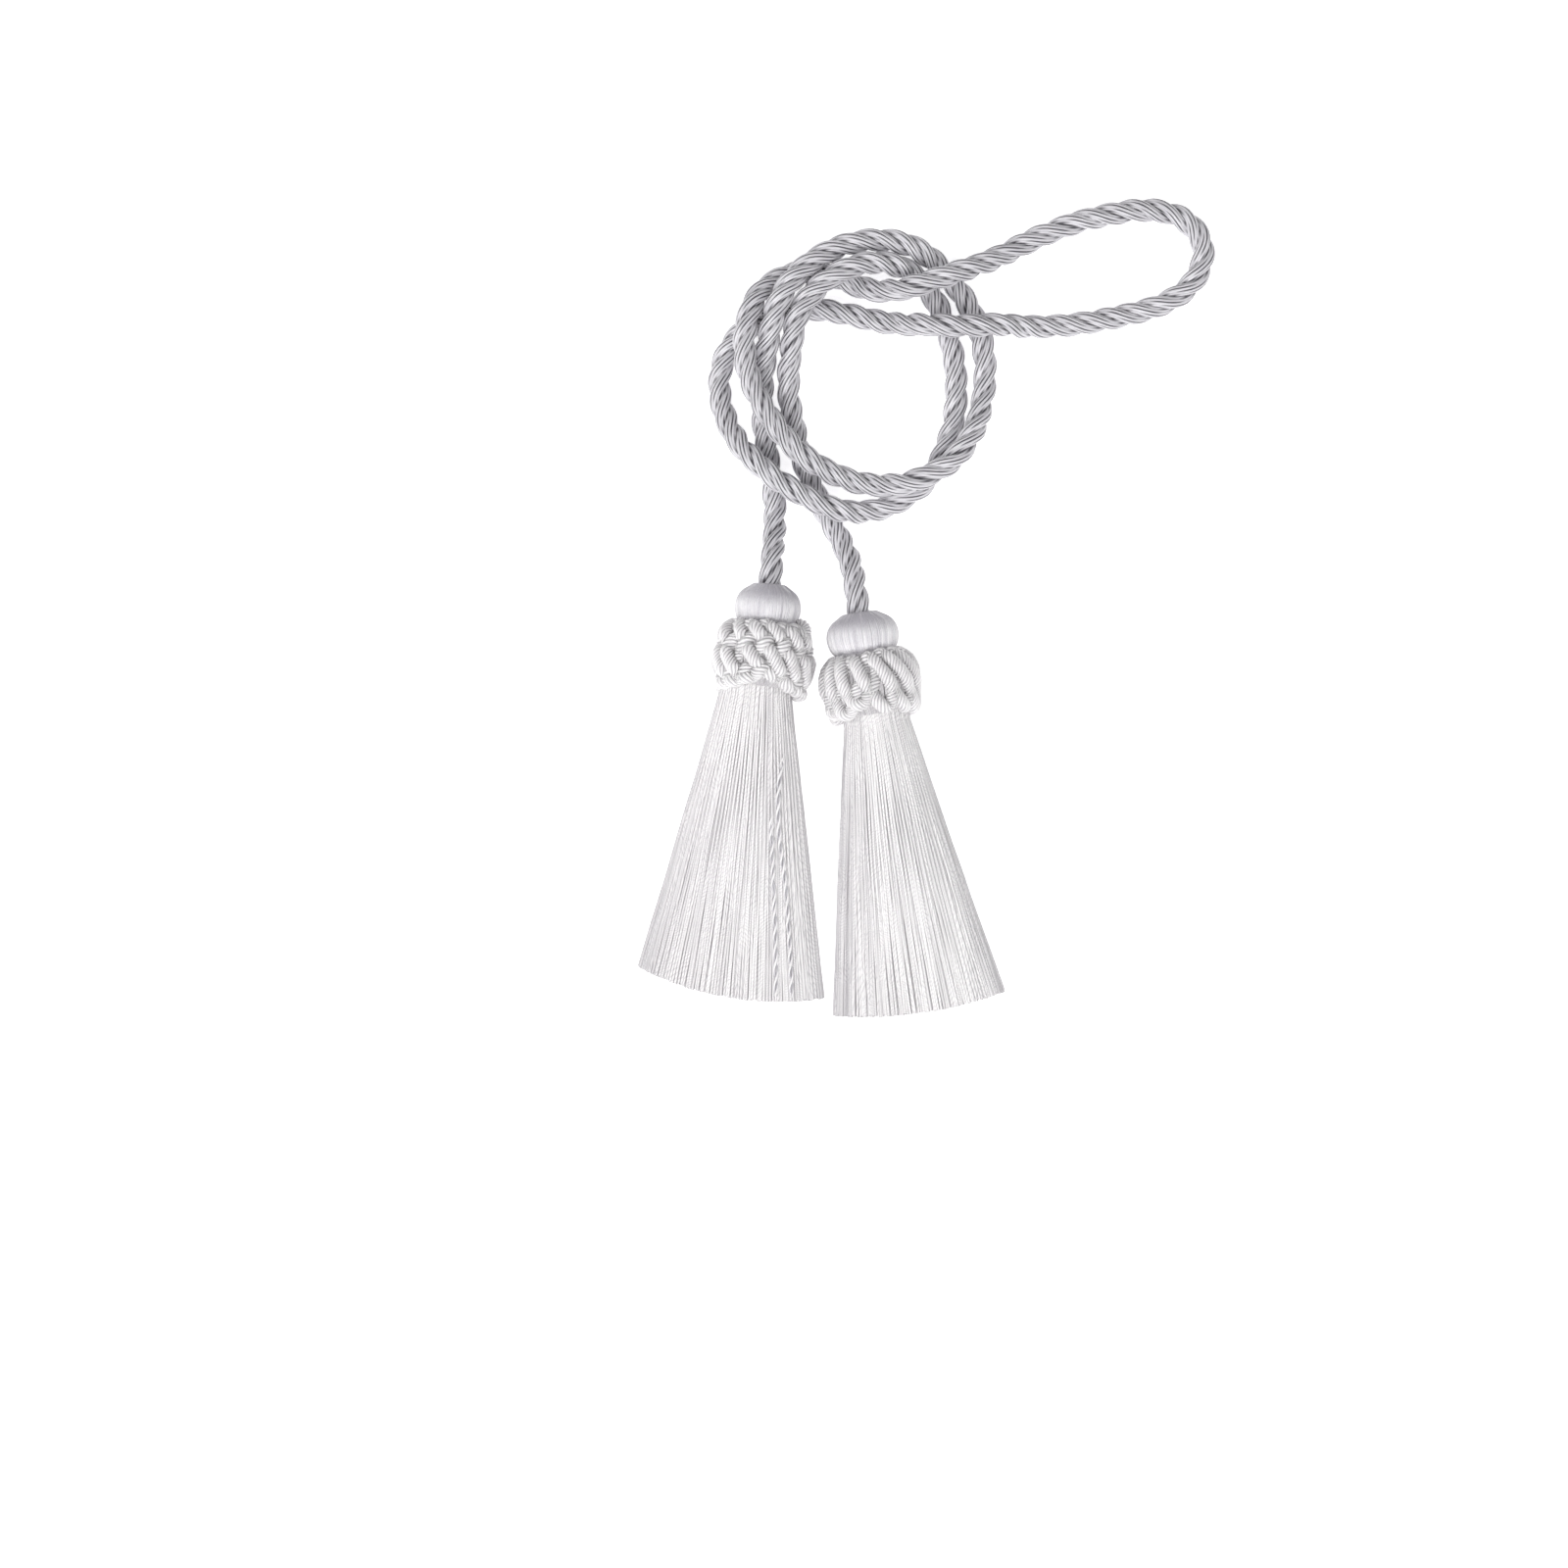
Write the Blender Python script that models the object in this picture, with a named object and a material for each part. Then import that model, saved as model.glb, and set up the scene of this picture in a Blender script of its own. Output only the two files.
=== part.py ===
"""Curtain tieback: one length of twisted cord with a tassel on each end, laid loose on a flat surface.

Metres, +Z up. The origin is on that surface, at the centre of the ground that the two tassels
cover. +Y runs from the tassels' hems towards the cord, which is wound round into a ring.
"""

import math
from collections import namedtuple

import bmesh
import bpy
import numpy as np

MM = 0.001
GAP = 0.3 * MM  # between pieces that touch

# The cord lies in a ring of two turns and a bight, over and under itself.
CORD_RADIUS = 3.7 * MM
CORD_SECTIONS = 80  # points on the tube's middle line
CORD_LEAD = 5.0 * MM  # straight stretch out of each head
CURVE_STEPS = 24  # steps between two points of the route while it is measured

# Every tassel is wound, knotted and cut alike.
AXIS_HEIGHT = 15.5 * MM  # height of the head's middle above the surface
HEAD_SIDES = 32
RUFF_SIDES = 48
RUFF_LOOPS = 12  # loops of cord round the neck
RUFF_SWELL = 1.1 * MM  # how far a loop stands out of the ruff
RUFF_SCALLOP = 1.3 * MM  # how far a loop's end reaches past the ruff's edge
LOOP_HEIGHT = 17.0 * MM  # distance between two rows of lumps where loops cross
SKIRT_START = 35.2 * MM  # distance from the cord's hole to the skirt's hidden top
SKIRT_NECK = 37.5 * MM  # distance from the cord's hole to where the skirt comes out of the ruff
NECK_BINDING = 0.9 * MM  # how far the yarns are drawn in inside the ruff
LOCKS = 12  # teeth of the fringe
LOCK_SHOULDER = 0.12  # share of a tooth that its rounded edge takes
NOTCH_DEPTH = 6.0 * MM  # depth of the gaps between teeth at the hem
LOCK_GROOVE = 0.5 * MM  # depth of the grooves between locks on the skirt's upper side

# How each tassel lies. Millimetres and degrees: where the cord goes in, the lean of its axis
# from -Y towards +X, the head's radius, half the skirt's width at its neck and at its hem,
# the length down to the longest yarn, how far the corners of the hem are cut back, where along
# the hem (-1 to 1) the longest yarn is, and how far the skirt lies off the axis.
Tassel = namedtuple("Tassel", "name x y lean head neck hem length rise peak drift")
TASSELS = (
    Tassel("left", -17.2, 73.7, -5.2, 11.4, 12.3, 31.8, 141.1, 4.9, 0.25, -1.2),
    Tassel("right", 12.8, 64.0, 8.6, 12.2, 11.3, 29.1, 137.3, 3.0, 0.05, 0.1),
)

# The head's turned outline, for a head of radius 1, from the cord's hole to the ruff.
HeadRow = namedtuple("HeadRow", "along_mm radius")
HEAD_ROWS = (
    HeadRow(0.0, 0.37),
    HeadRow(0.9, 0.55),
    HeadRow(2.2, 0.73),
    HeadRow(4.0, 0.89),
    HeadRow(6.2, 0.98),
    HeadRow(8.4, 1.00),
    HeadRow(10.8, 0.97),
    HeadRow(12.5, 0.90),
    HeadRow(13.5, 0.80),
)

# The ruff's turned outline. swell and scallop are the shares of RUFF_SWELL and RUFF_SCALLOP.
RuffRow = namedtuple("RuffRow", "along_mm radius_mm swell scallop")
RUFF_ROWS = (
    RuffRow(13.8, 10.2, 0.0, 0.0),
    RuffRow(11.6, 12.6, 0.0, -0.5),
    RuffRow(12.4, 14.3, 0.4, -0.5),
    RuffRow(15.4, 15.8, 0.8, 0.0),
    RuffRow(19.6, 16.4, 1.0, 0.0),
    RuffRow(24.0, 16.5, 1.0, 0.0),
    RuffRow(28.5, 16.4, 1.0, 0.0),
    RuffRow(32.5, 15.9, 1.0, 0.3),
    RuffRow(35.8, 14.9, 0.7, 1.0),
    RuffRow(36.8, 13.9, 0.2, 1.0),
    RuffRow(34.9, 13.1, 0.0, 0.0),
)

# Sections of the skirt. share is how far down the yarns it is, from 0 at the hidden top to 1 at
# the hem. low, wide and top are the heights of its underside, of its widest line and of its
# crown, and flat is the share of the underside's width that is flat.
SkirtRow = namedtuple("SkirtRow", "share low_mm wide_mm top_mm flat")
SKIRT_ROWS = (
    SkirtRow(0.000, 4.9, 15.5, 26.1, 0.0),
    SkirtRow(0.031, 4.0, 14.8, 26.4, 0.0),
    SkirtRow(0.093, 2.0, 12.0, 25.6, 0.2),
    SkirtRow(0.168, 0.0, 8.6, 23.4, 0.5),
    SkirtRow(0.272, 0.0, 6.0, 20.2, 0.7),
    SkirtRow(0.404, 0.0, 4.4, 16.8, 0.8),
    SkirtRow(0.546, 0.0, 3.4, 13.8, 0.8),
    SkirtRow(0.687, 0.0, 2.8, 11.2, 0.8),
    SkirtRow(0.820, 0.0, 2.4, 9.2, 0.8),
    SkirtRow(1.000, 0.0, 2.0, 7.6, 0.8),
)

# The cord's own way between the two leads, from the left tassel to the right one. Millimetres.
# A height of LYING is on the surface; where the cord passes over itself it is about 8 higher.
LYING = 3.9
RoutePoint = namedtuple("RoutePoint", "x y z")
CORD_ROUTE = tuple(
    RoutePoint(*row)
    for row in (
        # up from the left tassel, under two turns, and over the hidden ends of the bight
        (-16.0, 87.5, 10.4), (-15.5, 97.0, 4.6), (-20.0, 139.5, LYING), (-19.0, 150.0, 5.6),
        (-17.0, 160.5, 11.6), (-14.0, 169.5, 13.8), (0.0, 185.0, 11.0), (34.0, 187.6, 4.1),
        # down the right side, outermost, and back over the bottom
        (42.0, 180.5, LYING), (54.0, 160.5, LYING), (55.0, 135.5, 6.0), (51.0, 124.0, 10.2),
        (42.0, 113.5, 12.4), (31.0, 108.5, 12.2), (18.0, 107.5, 8.4), (-5.5, 117.0, 12.4),
        (-14.0, 125.5, 12.3), (-20.5, 135.5, 12.2), (-25.0, 146.5, 12.0), (-23.5, 167.5, 10.8),
        # under the top of the ring and out over its right side, round the bight
        (-16.5, 176.5, 5.2), (-6.0, 180.5, LYING), (16.0, 174.5, 4.8), (25.5, 173.5, 10.2),
        (45.5, 179.0, 12.6), (57.0, 183.5, 8.0), (69.5, 190.0, LYING), (101.0, 200.5, LYING),
        (124.0, 198.0, LYING), (130.0, 190.0, LYING), (128.5, 179.5, LYING), (103.0, 165.5, LYING),
        (85.5, 162.5, LYING), (70.0, 161.5, 6.0), (58.0, 161.5, 11.8), (48.5, 161.0, 12.6),
        # back in over the right side, under the left side and down its outside
        (38.0, 161.5, 12.2), (25.5, 162.5, 6.2), (11.0, 165.5, LYING), (-4.0, 167.5, LYING),
        (-16.0, 165.0, LYING), (-26.5, 160.0, LYING), (-34.5, 142.0, LYING), (-32.5, 131.0, 4.8),
        # the outermost turn of the bottom, over both tails, and up the inner right side
        (-27.0, 120.5, 9.4), (-18.0, 111.5, 12.4), (-7.5, 104.5, 12.3), (3.5, 99.5, 12.4),
        (15.5, 98.5, 6.6), (37.0, 110.5, LYING), (43.0, 121.5, LYING), (43.0, 160.5, LYING),
        # over the bight's ends, down the inner left side and out to the right tassel
        (31.0, 180.0, LYING), (19.5, 183.0, 9.0), (8.0, 180.0, 12.6), (-1.5, 173.5, 12.8),
        (-7.5, 165.0, 12.2), (-10.0, 154.5, 8.8), (-11.0, 142.5, 4.6), (-9.5, 130.0, LYING),
        (-1.0, 103.5, LYING), (6.0, 90.5, 4.6), (10.6, 79.0, 10.6),
    )
)


def clear_scene():
    for old in list(bpy.data.objects):
        bpy.data.objects.remove(old, do_unlink=True)


def make_material(name, colour, roughness):
    """A spun-yarn material. colour is linear red, green and blue."""
    material = bpy.data.materials.new(name)
    material.use_nodes = True
    material.diffuse_color = (*colour, 1.0)
    shader = material.node_tree.nodes["Principled BSDF"]
    shader.inputs["Base Color"].default_value = (*colour, 1.0)
    shader.inputs["Roughness"].default_value = roughness
    shader.inputs["Metallic"].default_value = 0.0
    return material


def add_object(name, data, material, parent=None):
    data.materials.append(material)
    added = bpy.data.objects.new(name, data)
    added.parent = parent
    bpy.context.scene.collection.objects.link(added)
    return added


def mesh_from(name, points, faces):
    """A closed mesh with its faces turned outwards."""
    mesh = bpy.data.meshes.new(name)
    work = bmesh.new()
    corners = [work.verts.new(point) for point in points]
    for face in faces:
        work.faces.new([corners[index] for index in face])
    bmesh.ops.recalc_face_normals(work, faces=work.faces)
    work.to_mesh(mesh)
    work.free()
    mesh.shade_smooth()
    mesh.set_sharp_from_angle(angle=math.radians(50.0))
    return mesh


def bridge_faces(rings):
    """Quads between neighbouring closed rings of vertex numbers."""
    faces = []
    for upper, lower in zip(rings, rings[1:]):
        for side in range(len(upper)):
            after = (side + 1) % len(upper)
            faces.append((upper[side], upper[after], lower[after], lower[side]))
    return faces


def turned_mesh(name, sides, row_count, place):
    """A solid turned round the tassel's axis. place(row, angle) gives along and radius in metres.

    It runs towards -Y, lies at AXIS_HEIGHT, and is pressed flat where it would go through the
    surface.
    """
    points = []
    rings = []
    for row in range(row_count):
        rings.append(range(len(points), len(points) + sides))
        for side in range(sides):
            angle = 2.0 * math.pi * side / sides
            along, radius = place(row, angle)
            height = AXIS_HEIGHT + radius * math.sin(angle)
            points.append((radius * math.cos(angle), -along, max(height, 0.0)))
    faces = bridge_faces(rings)
    for ring in (rings[0], rings[-1]):
        middle = len(points)
        points.append((0.0, points[ring[0]][1], AXIS_HEIGHT))
        faces += [(ring[side], ring[(side + 1) % sides], middle) for side in range(sides)]
    return mesh_from(name, points, faces)


def head_mesh(tassel):
    def place(row, _angle):
        return HEAD_ROWS[row].along_mm * MM, HEAD_ROWS[row].radius * tassel.head * MM

    return turned_mesh(f"{tassel.name}_head", HEAD_SIDES, len(HEAD_ROWS), place)


def ruff_mesh(tassel):
    """The collar: lumps where its loops cross, in rows that are half a loop apart."""

    def place(row, angle):
        shape = RUFF_ROWS[row]
        loop = math.cos(RUFF_LOOPS * angle)
        crossing = math.cos(2.0 * math.pi * shape.along_mm * MM / LOOP_HEIGHT)
        along = shape.along_mm * MM + shape.scallop * RUFF_SCALLOP * (0.5 + 0.5 * loop)
        radius = shape.radius_mm * MM + shape.swell * RUFF_SWELL * (0.5 + 0.5 * loop * crossing)
        return along, radius

    return turned_mesh(f"{tassel.name}_ruff", RUFF_SIDES, len(RUFF_ROWS), place)


def lock_columns():
    """Places across the skirt from -1 to 1, each with True where two locks part."""
    columns = []
    for lock in range(LOCKS):
        for place in (0.0, LOCK_SHOULDER, 1.0 - LOCK_SHOULDER):
            across = 2.0 * (lock + place) / LOCKS - 1.0
            columns.append((across, place == 0.0 and lock > 0))
    columns.append((1.0, False))
    return columns


def hem_distance(tassel, across):
    """How far from the cord's hole the yarns are cut at this place across the skirt."""
    return (tassel.length - tassel.rise * (across - tassel.peak) ** 2) * MM


def skirt_half_width(tassel, along):
    """The yarns are drawn in a little where the ruff binds them, and spread evenly below it."""
    if along < SKIRT_NECK:
        return tassel.neck * MM - NECK_BINDING
    share = (along - SKIRT_NECK) / (tassel.length * MM - SKIRT_NECK)
    return (tassel.neck + share * (tassel.hem - tassel.neck)) * MM


def skirt_heights(row, across):
    """Heights of the skirt's upper side and underside, before its grooves."""
    round_share = math.sqrt(max(0.0, 1.0 - across**2))
    upper = row.wide_mm + (row.top_mm - row.wide_mm) * round_share
    turned_up = max(0.0, abs(across) - row.flat) / (1.0 - row.flat)
    lower = row.wide_mm - (row.wide_mm - row.low_mm) * math.sqrt(max(0.0, 1.0 - turned_up**2))
    return upper * MM, lower * MM


def skirt_mesh(tassel):
    """A fringe that lies fanned out: a flat underside, a crowned upper side and a comb of locks."""
    columns = lock_columns()
    points = []
    rings = []
    for row in SKIRT_ROWS:
        upper = []
        lower = []
        for across, parting in columns:
            cut = hem_distance(tassel, across)
            if parting and row is SKIRT_ROWS[-1]:
                cut -= NOTCH_DEPTH
            along = SKIRT_START + row.share * (cut - SKIRT_START)
            sideways = across * skirt_half_width(tassel, along) + tassel.drift * MM
            high, low = skirt_heights(row, across)
            groove = LOCK_GROOVE if parting else 0.0
            upper.append((sideways, -along, high - groove))
            lower.append((sideways, -along, low))
        ring = upper + lower[-2:0:-1]
        rings.append(range(len(points), len(points) + len(ring)))
        points += ring
    faces = bridge_faces(rings)
    size = len(rings[0])
    for ring in (rings[0], rings[-1]):
        for column in range(len(columns) - 1):
            corners = (column, column + 1, size - column - 1, (size - column) % size)
            faces.append(tuple(dict.fromkeys(ring[corner] for corner in corners)))
    return mesh_from(f"{tassel.name}_skirt", points, faces)


def cord_lead(tassel):
    """The cord's end, a gap outside the head, and the point where its straight lead ends."""
    lean = math.radians(tassel.lean)
    outwards = np.array((-math.sin(lean), math.cos(lean), 0.0))
    hole = np.array((tassel.x * MM, tassel.y * MM, AXIS_HEIGHT))
    return [hole + GAP * outwards, hole + CORD_LEAD * outwards]


def smooth_curve(knots):
    """Points on the natural cubic spline through the knots, CURVE_STEPS to a stretch."""
    spans = np.linalg.norm(np.diff(knots, axis=0), axis=1)
    slopes = np.diff(knots, axis=0) / spans[:, None]
    system = np.eye(len(knots))
    wanted = np.zeros_like(knots)
    for index in range(1, len(knots) - 1):
        before, after = spans[index - 1], spans[index]
        system[index, index - 1 : index + 2] = before, 2.0 * (before + after), after
        wanted[index] = 6.0 * (slopes[index] - slopes[index - 1])
    bend = np.linalg.solve(system, wanted)
    curve = [knots[0]]
    for index, span in enumerate(spans):
        for step in range(1, CURVE_STEPS + 1):
            to, back = step / CURVE_STEPS, 1.0 - step / CURVE_STEPS
            sag = (back**3 - back) * bend[index] + (to**3 - to) * bend[index + 1]
            curve.append(back * knots[index] + to * knots[index + 1] + sag * span**2 / 6.0)
    return np.array(curve)


def evenly_spaced(curve, count):
    """This many points at equal distances along the curve."""
    steps = np.linalg.norm(np.diff(curve, axis=0), axis=1)
    travelled = np.concatenate(((0.0,), np.cumsum(steps)))
    stops = np.linspace(0.0, travelled[-1], count)
    return np.stack([np.interp(stops, travelled, curve[:, axis]) for axis in range(3)], axis=1)


def cord_curve():
    """The cord's tube, never lower than the surface it lies on."""
    route = np.array(CORD_ROUTE) * MM
    knots = np.vstack((cord_lead(TASSELS[0]), route, cord_lead(TASSELS[1])[::-1]))
    between_leads = smooth_curve(knots)[CURVE_STEPS:-CURVE_STEPS]
    free_line = evenly_spaced(between_leads, CORD_SECTIONS - 2)
    free_line[:, 2] = np.maximum(free_line[:, 2], LYING * MM)
    middle_line = np.vstack((knots[:1], free_line, knots[-1:]))
    curve = bpy.data.curves.new("cord", "CURVE")
    curve.dimensions = "3D"
    curve.bevel_depth = CORD_RADIUS
    curve.bevel_resolution = 2
    curve.use_fill_caps = True
    spline = curve.splines.new("POLY")
    spline.points.add(len(middle_line) - 1)
    for point, place in zip(spline.points, middle_line):
        point.co = (*place, 1.0)
    return curve


def main():
    clear_scene()
    silver_rayon = make_material("silver_rayon_cord", (0.52, 0.51, 0.55), 0.42)
    white_rayon = make_material("white_rayon_yarn", (0.86, 0.86, 0.86), 0.45)
    add_object("cord", cord_curve(), silver_rayon)
    for tassel in TASSELS:
        frame = bpy.data.objects.new(f"{tassel.name}_tassel", None)
        frame.location = (tassel.x * MM, tassel.y * MM, 0.0)
        frame.rotation_euler.z = math.radians(tassel.lean)
        bpy.context.scene.collection.objects.link(frame)
        for mesh in (head_mesh(tassel), ruff_mesh(tassel), skirt_mesh(tassel)):
            add_object(mesh.name, mesh, white_rayon, frame)


main()
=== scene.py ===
"""Curtain tieback: the looks of its twisted cord, wound heads, knotted ruffs and cut skirts.

Metres, +Z up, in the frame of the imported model. The tieback lies on the surface at z = 0.
"""

import math
from collections import namedtuple
from functools import partial

import bpy
import numpy as np
from bpy.props import FloatProperty, IntProperty, PointerProperty, StringProperty
from mathutils import Matrix, Vector


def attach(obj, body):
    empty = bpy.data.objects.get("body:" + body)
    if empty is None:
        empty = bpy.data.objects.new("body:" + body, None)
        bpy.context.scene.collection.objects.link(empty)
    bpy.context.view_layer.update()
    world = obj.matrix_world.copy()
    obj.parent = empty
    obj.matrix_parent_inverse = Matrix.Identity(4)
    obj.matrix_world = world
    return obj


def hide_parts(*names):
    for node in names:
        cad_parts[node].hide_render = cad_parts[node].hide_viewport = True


bl_info = {
    "name": "Curtain Tieback",
    "version": (1, 0, 0),
    "blender": (4, 5, 0),
    "location": "3D Viewport > Sidebar > Tieback",
    "description": "Makes a twisted cord tieback with a tassel on each end",
    "category": "Object",
}

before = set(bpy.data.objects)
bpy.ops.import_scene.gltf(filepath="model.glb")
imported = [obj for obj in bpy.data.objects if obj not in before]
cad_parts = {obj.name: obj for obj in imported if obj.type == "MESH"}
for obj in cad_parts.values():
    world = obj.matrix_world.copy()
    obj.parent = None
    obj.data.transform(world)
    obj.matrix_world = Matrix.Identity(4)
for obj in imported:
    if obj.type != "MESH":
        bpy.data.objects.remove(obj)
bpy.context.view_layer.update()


def table(name, columns, *rows):
    """Rows of numbers, with a name for each column."""
    row_type = namedtuple(name, columns)
    return tuple(row_type(*row) for row in rows)


MM = 0.001
PHOTO_WIDTH = 1600.0  # pixels
PIXELS_PER_MM = 3.0  # in the photo
TAU = 2.0 * math.pi
AXIS_HEIGHT = 15.5 * MM  # height of each tassel's axis above the surface
PATH_STEP = 0.6 * MM  # distance between the points of a path that a cord follows
YARN_SIDES = 6  # sides of a single thread or yarn, shaded smooth
# Opposite sides of a single yarn or thread, which are drawn darker with painted shade
YARN_SHADED_SIDES = 2.0
SIDES_PER_YARN = 3  # of the cord
SLACK_WAVE = 36.0 * MM  # how slowly a cord's twist changes along it
PLY_OFFSET = 0.25  # from the cord's middle to a ply's, in thicknesses of the cord
PLY_SEEDS_APART = 7.3  # so that no ply wavers like the next
SEEDS_APART = 10  # for the two tassels
SKIRT_SEED = 20
THREADS_ALIKE = 4.0  # neighbouring threads on a head that look much the same
THREAD_OWN_GREY = 0.5  # how much a thread's own shade counts beside theirs
NOISE_SPAN = (0.3, 0.7)  # the values between which almost all noise lies
MATH = "ShaderNodeMath"
VECTOR_MATH = "ShaderNodeVectorMath"
MAP_RANGE = "ShaderNodeMapRange"
STORE = "GeometryNodeStoreNamedAttribute"
KEPT = "GeometryNodeInputNamedAttribute"

# How each tassel lies. Millimetres and degrees: where the cord goes in, the lean of its axis
# from -Y towards +X, the head's radius, half the skirt's width at its neck and at its hem,
# the length down to the longest yarn, how far the corners of the hem are cut back, where along
# the hem (-1 to 1) the longest yarn is, how far the skirt lies off the axis, and where across the
# skirt (-1 to 1) and how deeply its yarns part.
TASSELS = table(
    "Tassel",
    "name x y lean head neck hem length rise peak drift parting parted",
    ("left", -17.2, 73.7, -5.2, 11.1, 12.3, 33.5, 141.1, 4.9, 0.25, -1.5, 0.44, 0.3),
    ("right", 12.8, 64.0, 8.6, 12.2, 11.3, 30.4, 137.3, 3.0, 0.05, 0.5, -0.85, 1.3),
)

# The cord's own way between its two leads, from the left tassel to the right one. Millimetres.
# A height of LYING is on the surface; where the cord passes over itself it is about 8 higher.
LYING = 3.9
CORD_LEAD = 5.0 * MM  # straight stretch out of each head
CORD_INSIDE = 2.5 * MM  # how far the cord's end goes into the head's hole
CURVE_STEPS = 24  # steps between two points of the route while it is measured
CORD_ROUTE = table(
    "RoutePoint",
    "x y z",
    # up from the left tassel, under two turns, and over the hidden ends of the bight
    (-16.0, 87.5, 10.4), (-15.5, 97.0, 4.6), (-20.0, 139.5, LYING), (-19.0, 150.0, 5.6),
    (-17.0, 160.5, 11.6), (-14.0, 169.5, 13.8), (0.0, 185.0, 11.0), (34.0, 187.6, 4.1),
    # down the right side, outermost, and back over the bottom
    (42.0, 180.5, LYING), (54.0, 160.5, LYING), (55.0, 135.5, 6.0), (51.0, 124.0, 10.2),
    (42.0, 113.5, 12.4), (31.0, 108.5, 12.2), (18.0, 107.5, 8.4), (-5.5, 117.0, 12.4),
    (-14.0, 125.5, 12.3), (-20.5, 135.5, 12.2), (-25.0, 146.5, 12.0), (-23.5, 167.5, 10.8),
    # under the top of the ring and out over its right side, round the bight
    (-16.5, 176.5, 5.2), (-6.0, 180.5, LYING), (16.0, 174.5, 4.8), (25.5, 173.5, 10.2),
    (45.5, 179.0, 12.6), (57.0, 183.5, 8.0), (69.5, 190.0, LYING), (101.0, 200.5, LYING),
    (124.0, 198.0, LYING), (130.0, 190.0, LYING), (128.5, 179.5, LYING), (103.0, 165.5, LYING),
    (85.5, 162.5, LYING), (70.0, 161.5, 6.0), (58.0, 161.5, 11.8), (48.5, 161.0, 12.6),
    # back in over the right side, under the left side and down its outside
    (38.0, 161.5, 12.2), (25.5, 162.5, 6.2), (11.0, 165.5, LYING), (-4.0, 167.5, LYING),
    (-16.0, 165.0, LYING), (-26.5, 160.0, LYING), (-34.5, 142.0, LYING), (-32.5, 131.0, 4.8),
    # the outermost turn of the bottom, over both tails, and up the inner right side
    (-27.0, 120.5, 9.4), (-18.0, 111.5, 12.4), (-7.5, 104.5, 12.3), (3.5, 99.5, 12.4),
    (15.5, 98.5, 6.6), (37.0, 110.5, LYING), (43.0, 121.5, LYING), (43.0, 160.5, LYING),
    # over the bight's ends, down the inner left side and out to the right tassel
    (31.0, 180.0, LYING), (19.5, 183.0, 9.0), (8.0, 180.0, 12.6), (-1.5, 173.5, 12.8),
    (-7.5, 165.0, 12.2), (-10.0, 154.5, 8.8), (-11.0, 142.5, 4.6), (-9.5, 130.0, LYING),
    (-1.0, 103.5, LYING), (6.0, 90.5, 4.6), (10.6, 79.0, 10.6),
)

# The way of one thread over a head of radius 1, from inside the cord's hole to under the ruff.
HEAD_ROWS = table(
    "HeadRow",
    "along_mm radius",
    (3.2, 0.30), (1.8, 0.325), (0.9, 0.36), (0.6, 0.43), (0.9, 0.50), (1.7, 0.60), (2.8, 0.75),
    (4.6, 0.885), (6.6, 0.95), (8.6, 0.965), (10.6, 0.935), (12.4, 0.875), (13.6, 0.79),
    (15.0, 0.71),
)

# The threads that run on under the ruff, from the head's neck to the skirt.
CORE_ROWS = table(
    "CoreRow",
    "along_mm radius_mm",
    (13.0, 8.4), (16.0, 11.0), (20.0, 13.1), (26.0, 13.9), (31.0, 13.0), (33.4, 11.6),
    (35.0, 9.6),
)

# Where the ruff's loops lie: the middle line of their cord, from the head down to the skirt.
RUFF_ROWS = table(
    "RuffRow",
    "along_mm radius_mm",
    (12.0, 9.4), (14.0, 10.4), (17.0, 12.2), (21.0, 13.9), (26.0, 14.4), (31.0, 13.9),
    (34.0, 13.2), (38.0, 12.6),
)

# How each ruff is knotted from one cord, which goes round the neck several times and up and down
# as it goes: its turns round the neck, the heights in millimetres at which it turns back at the
# top, at the bottom in front and at the bottom on the sides, how much further it leans over on
# the right side than on the left, in degrees, how much it goes over and under itself, whether its
# end sticks out, and the seed of its unevenness.
RuffLay = namedtuple("RuffLay", "turns top front side lean weave tail seed")
RUFF_LAYS = {
    "left": RuffLay(5, 15.2, 31.2, 35.6, 0.0, 1.5, True, 4),
    "right": RuffLay(3, 15.6, 31.4, 34.6, 22.0, 0.9, False, 9),
}
RUFF_WRAPS = 7  # ridges, a third coarser than the real ones, which are too fine to show
SIDES_PER_WRAP = 4
RUFF_WRAP_PITCH = 8.0 * MM  # length of one turn of a ridge
RUFF_LOOP_STEPS = 120  # steps in each loop while its way is measured
RUFF_CROSSING = 1.2  # millimetres out where the cord passes over itself, or in where under
RUFF_ENDS_VARY = 0.7  # millimetres, in the height at which a loop turns back
RUFF_RADIUS_VARIES = 0.3  # millimetres
RUFF_TURN_VARIES = 2.5  # degrees

# The end of the left ruff's cord, which stands out as a small lobe beside the head.
RUFF_TAIL = table(
    "TailRow",
    "aside_mm along_mm height_mm",
    (10.0, 20.5, 22.0), (12.0, 17.6, 21.0), (13.2, 15.2, 19.0), (11.8, 13.4, 17.5),
    (9.0, 14.6, 16.0),
)
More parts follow.
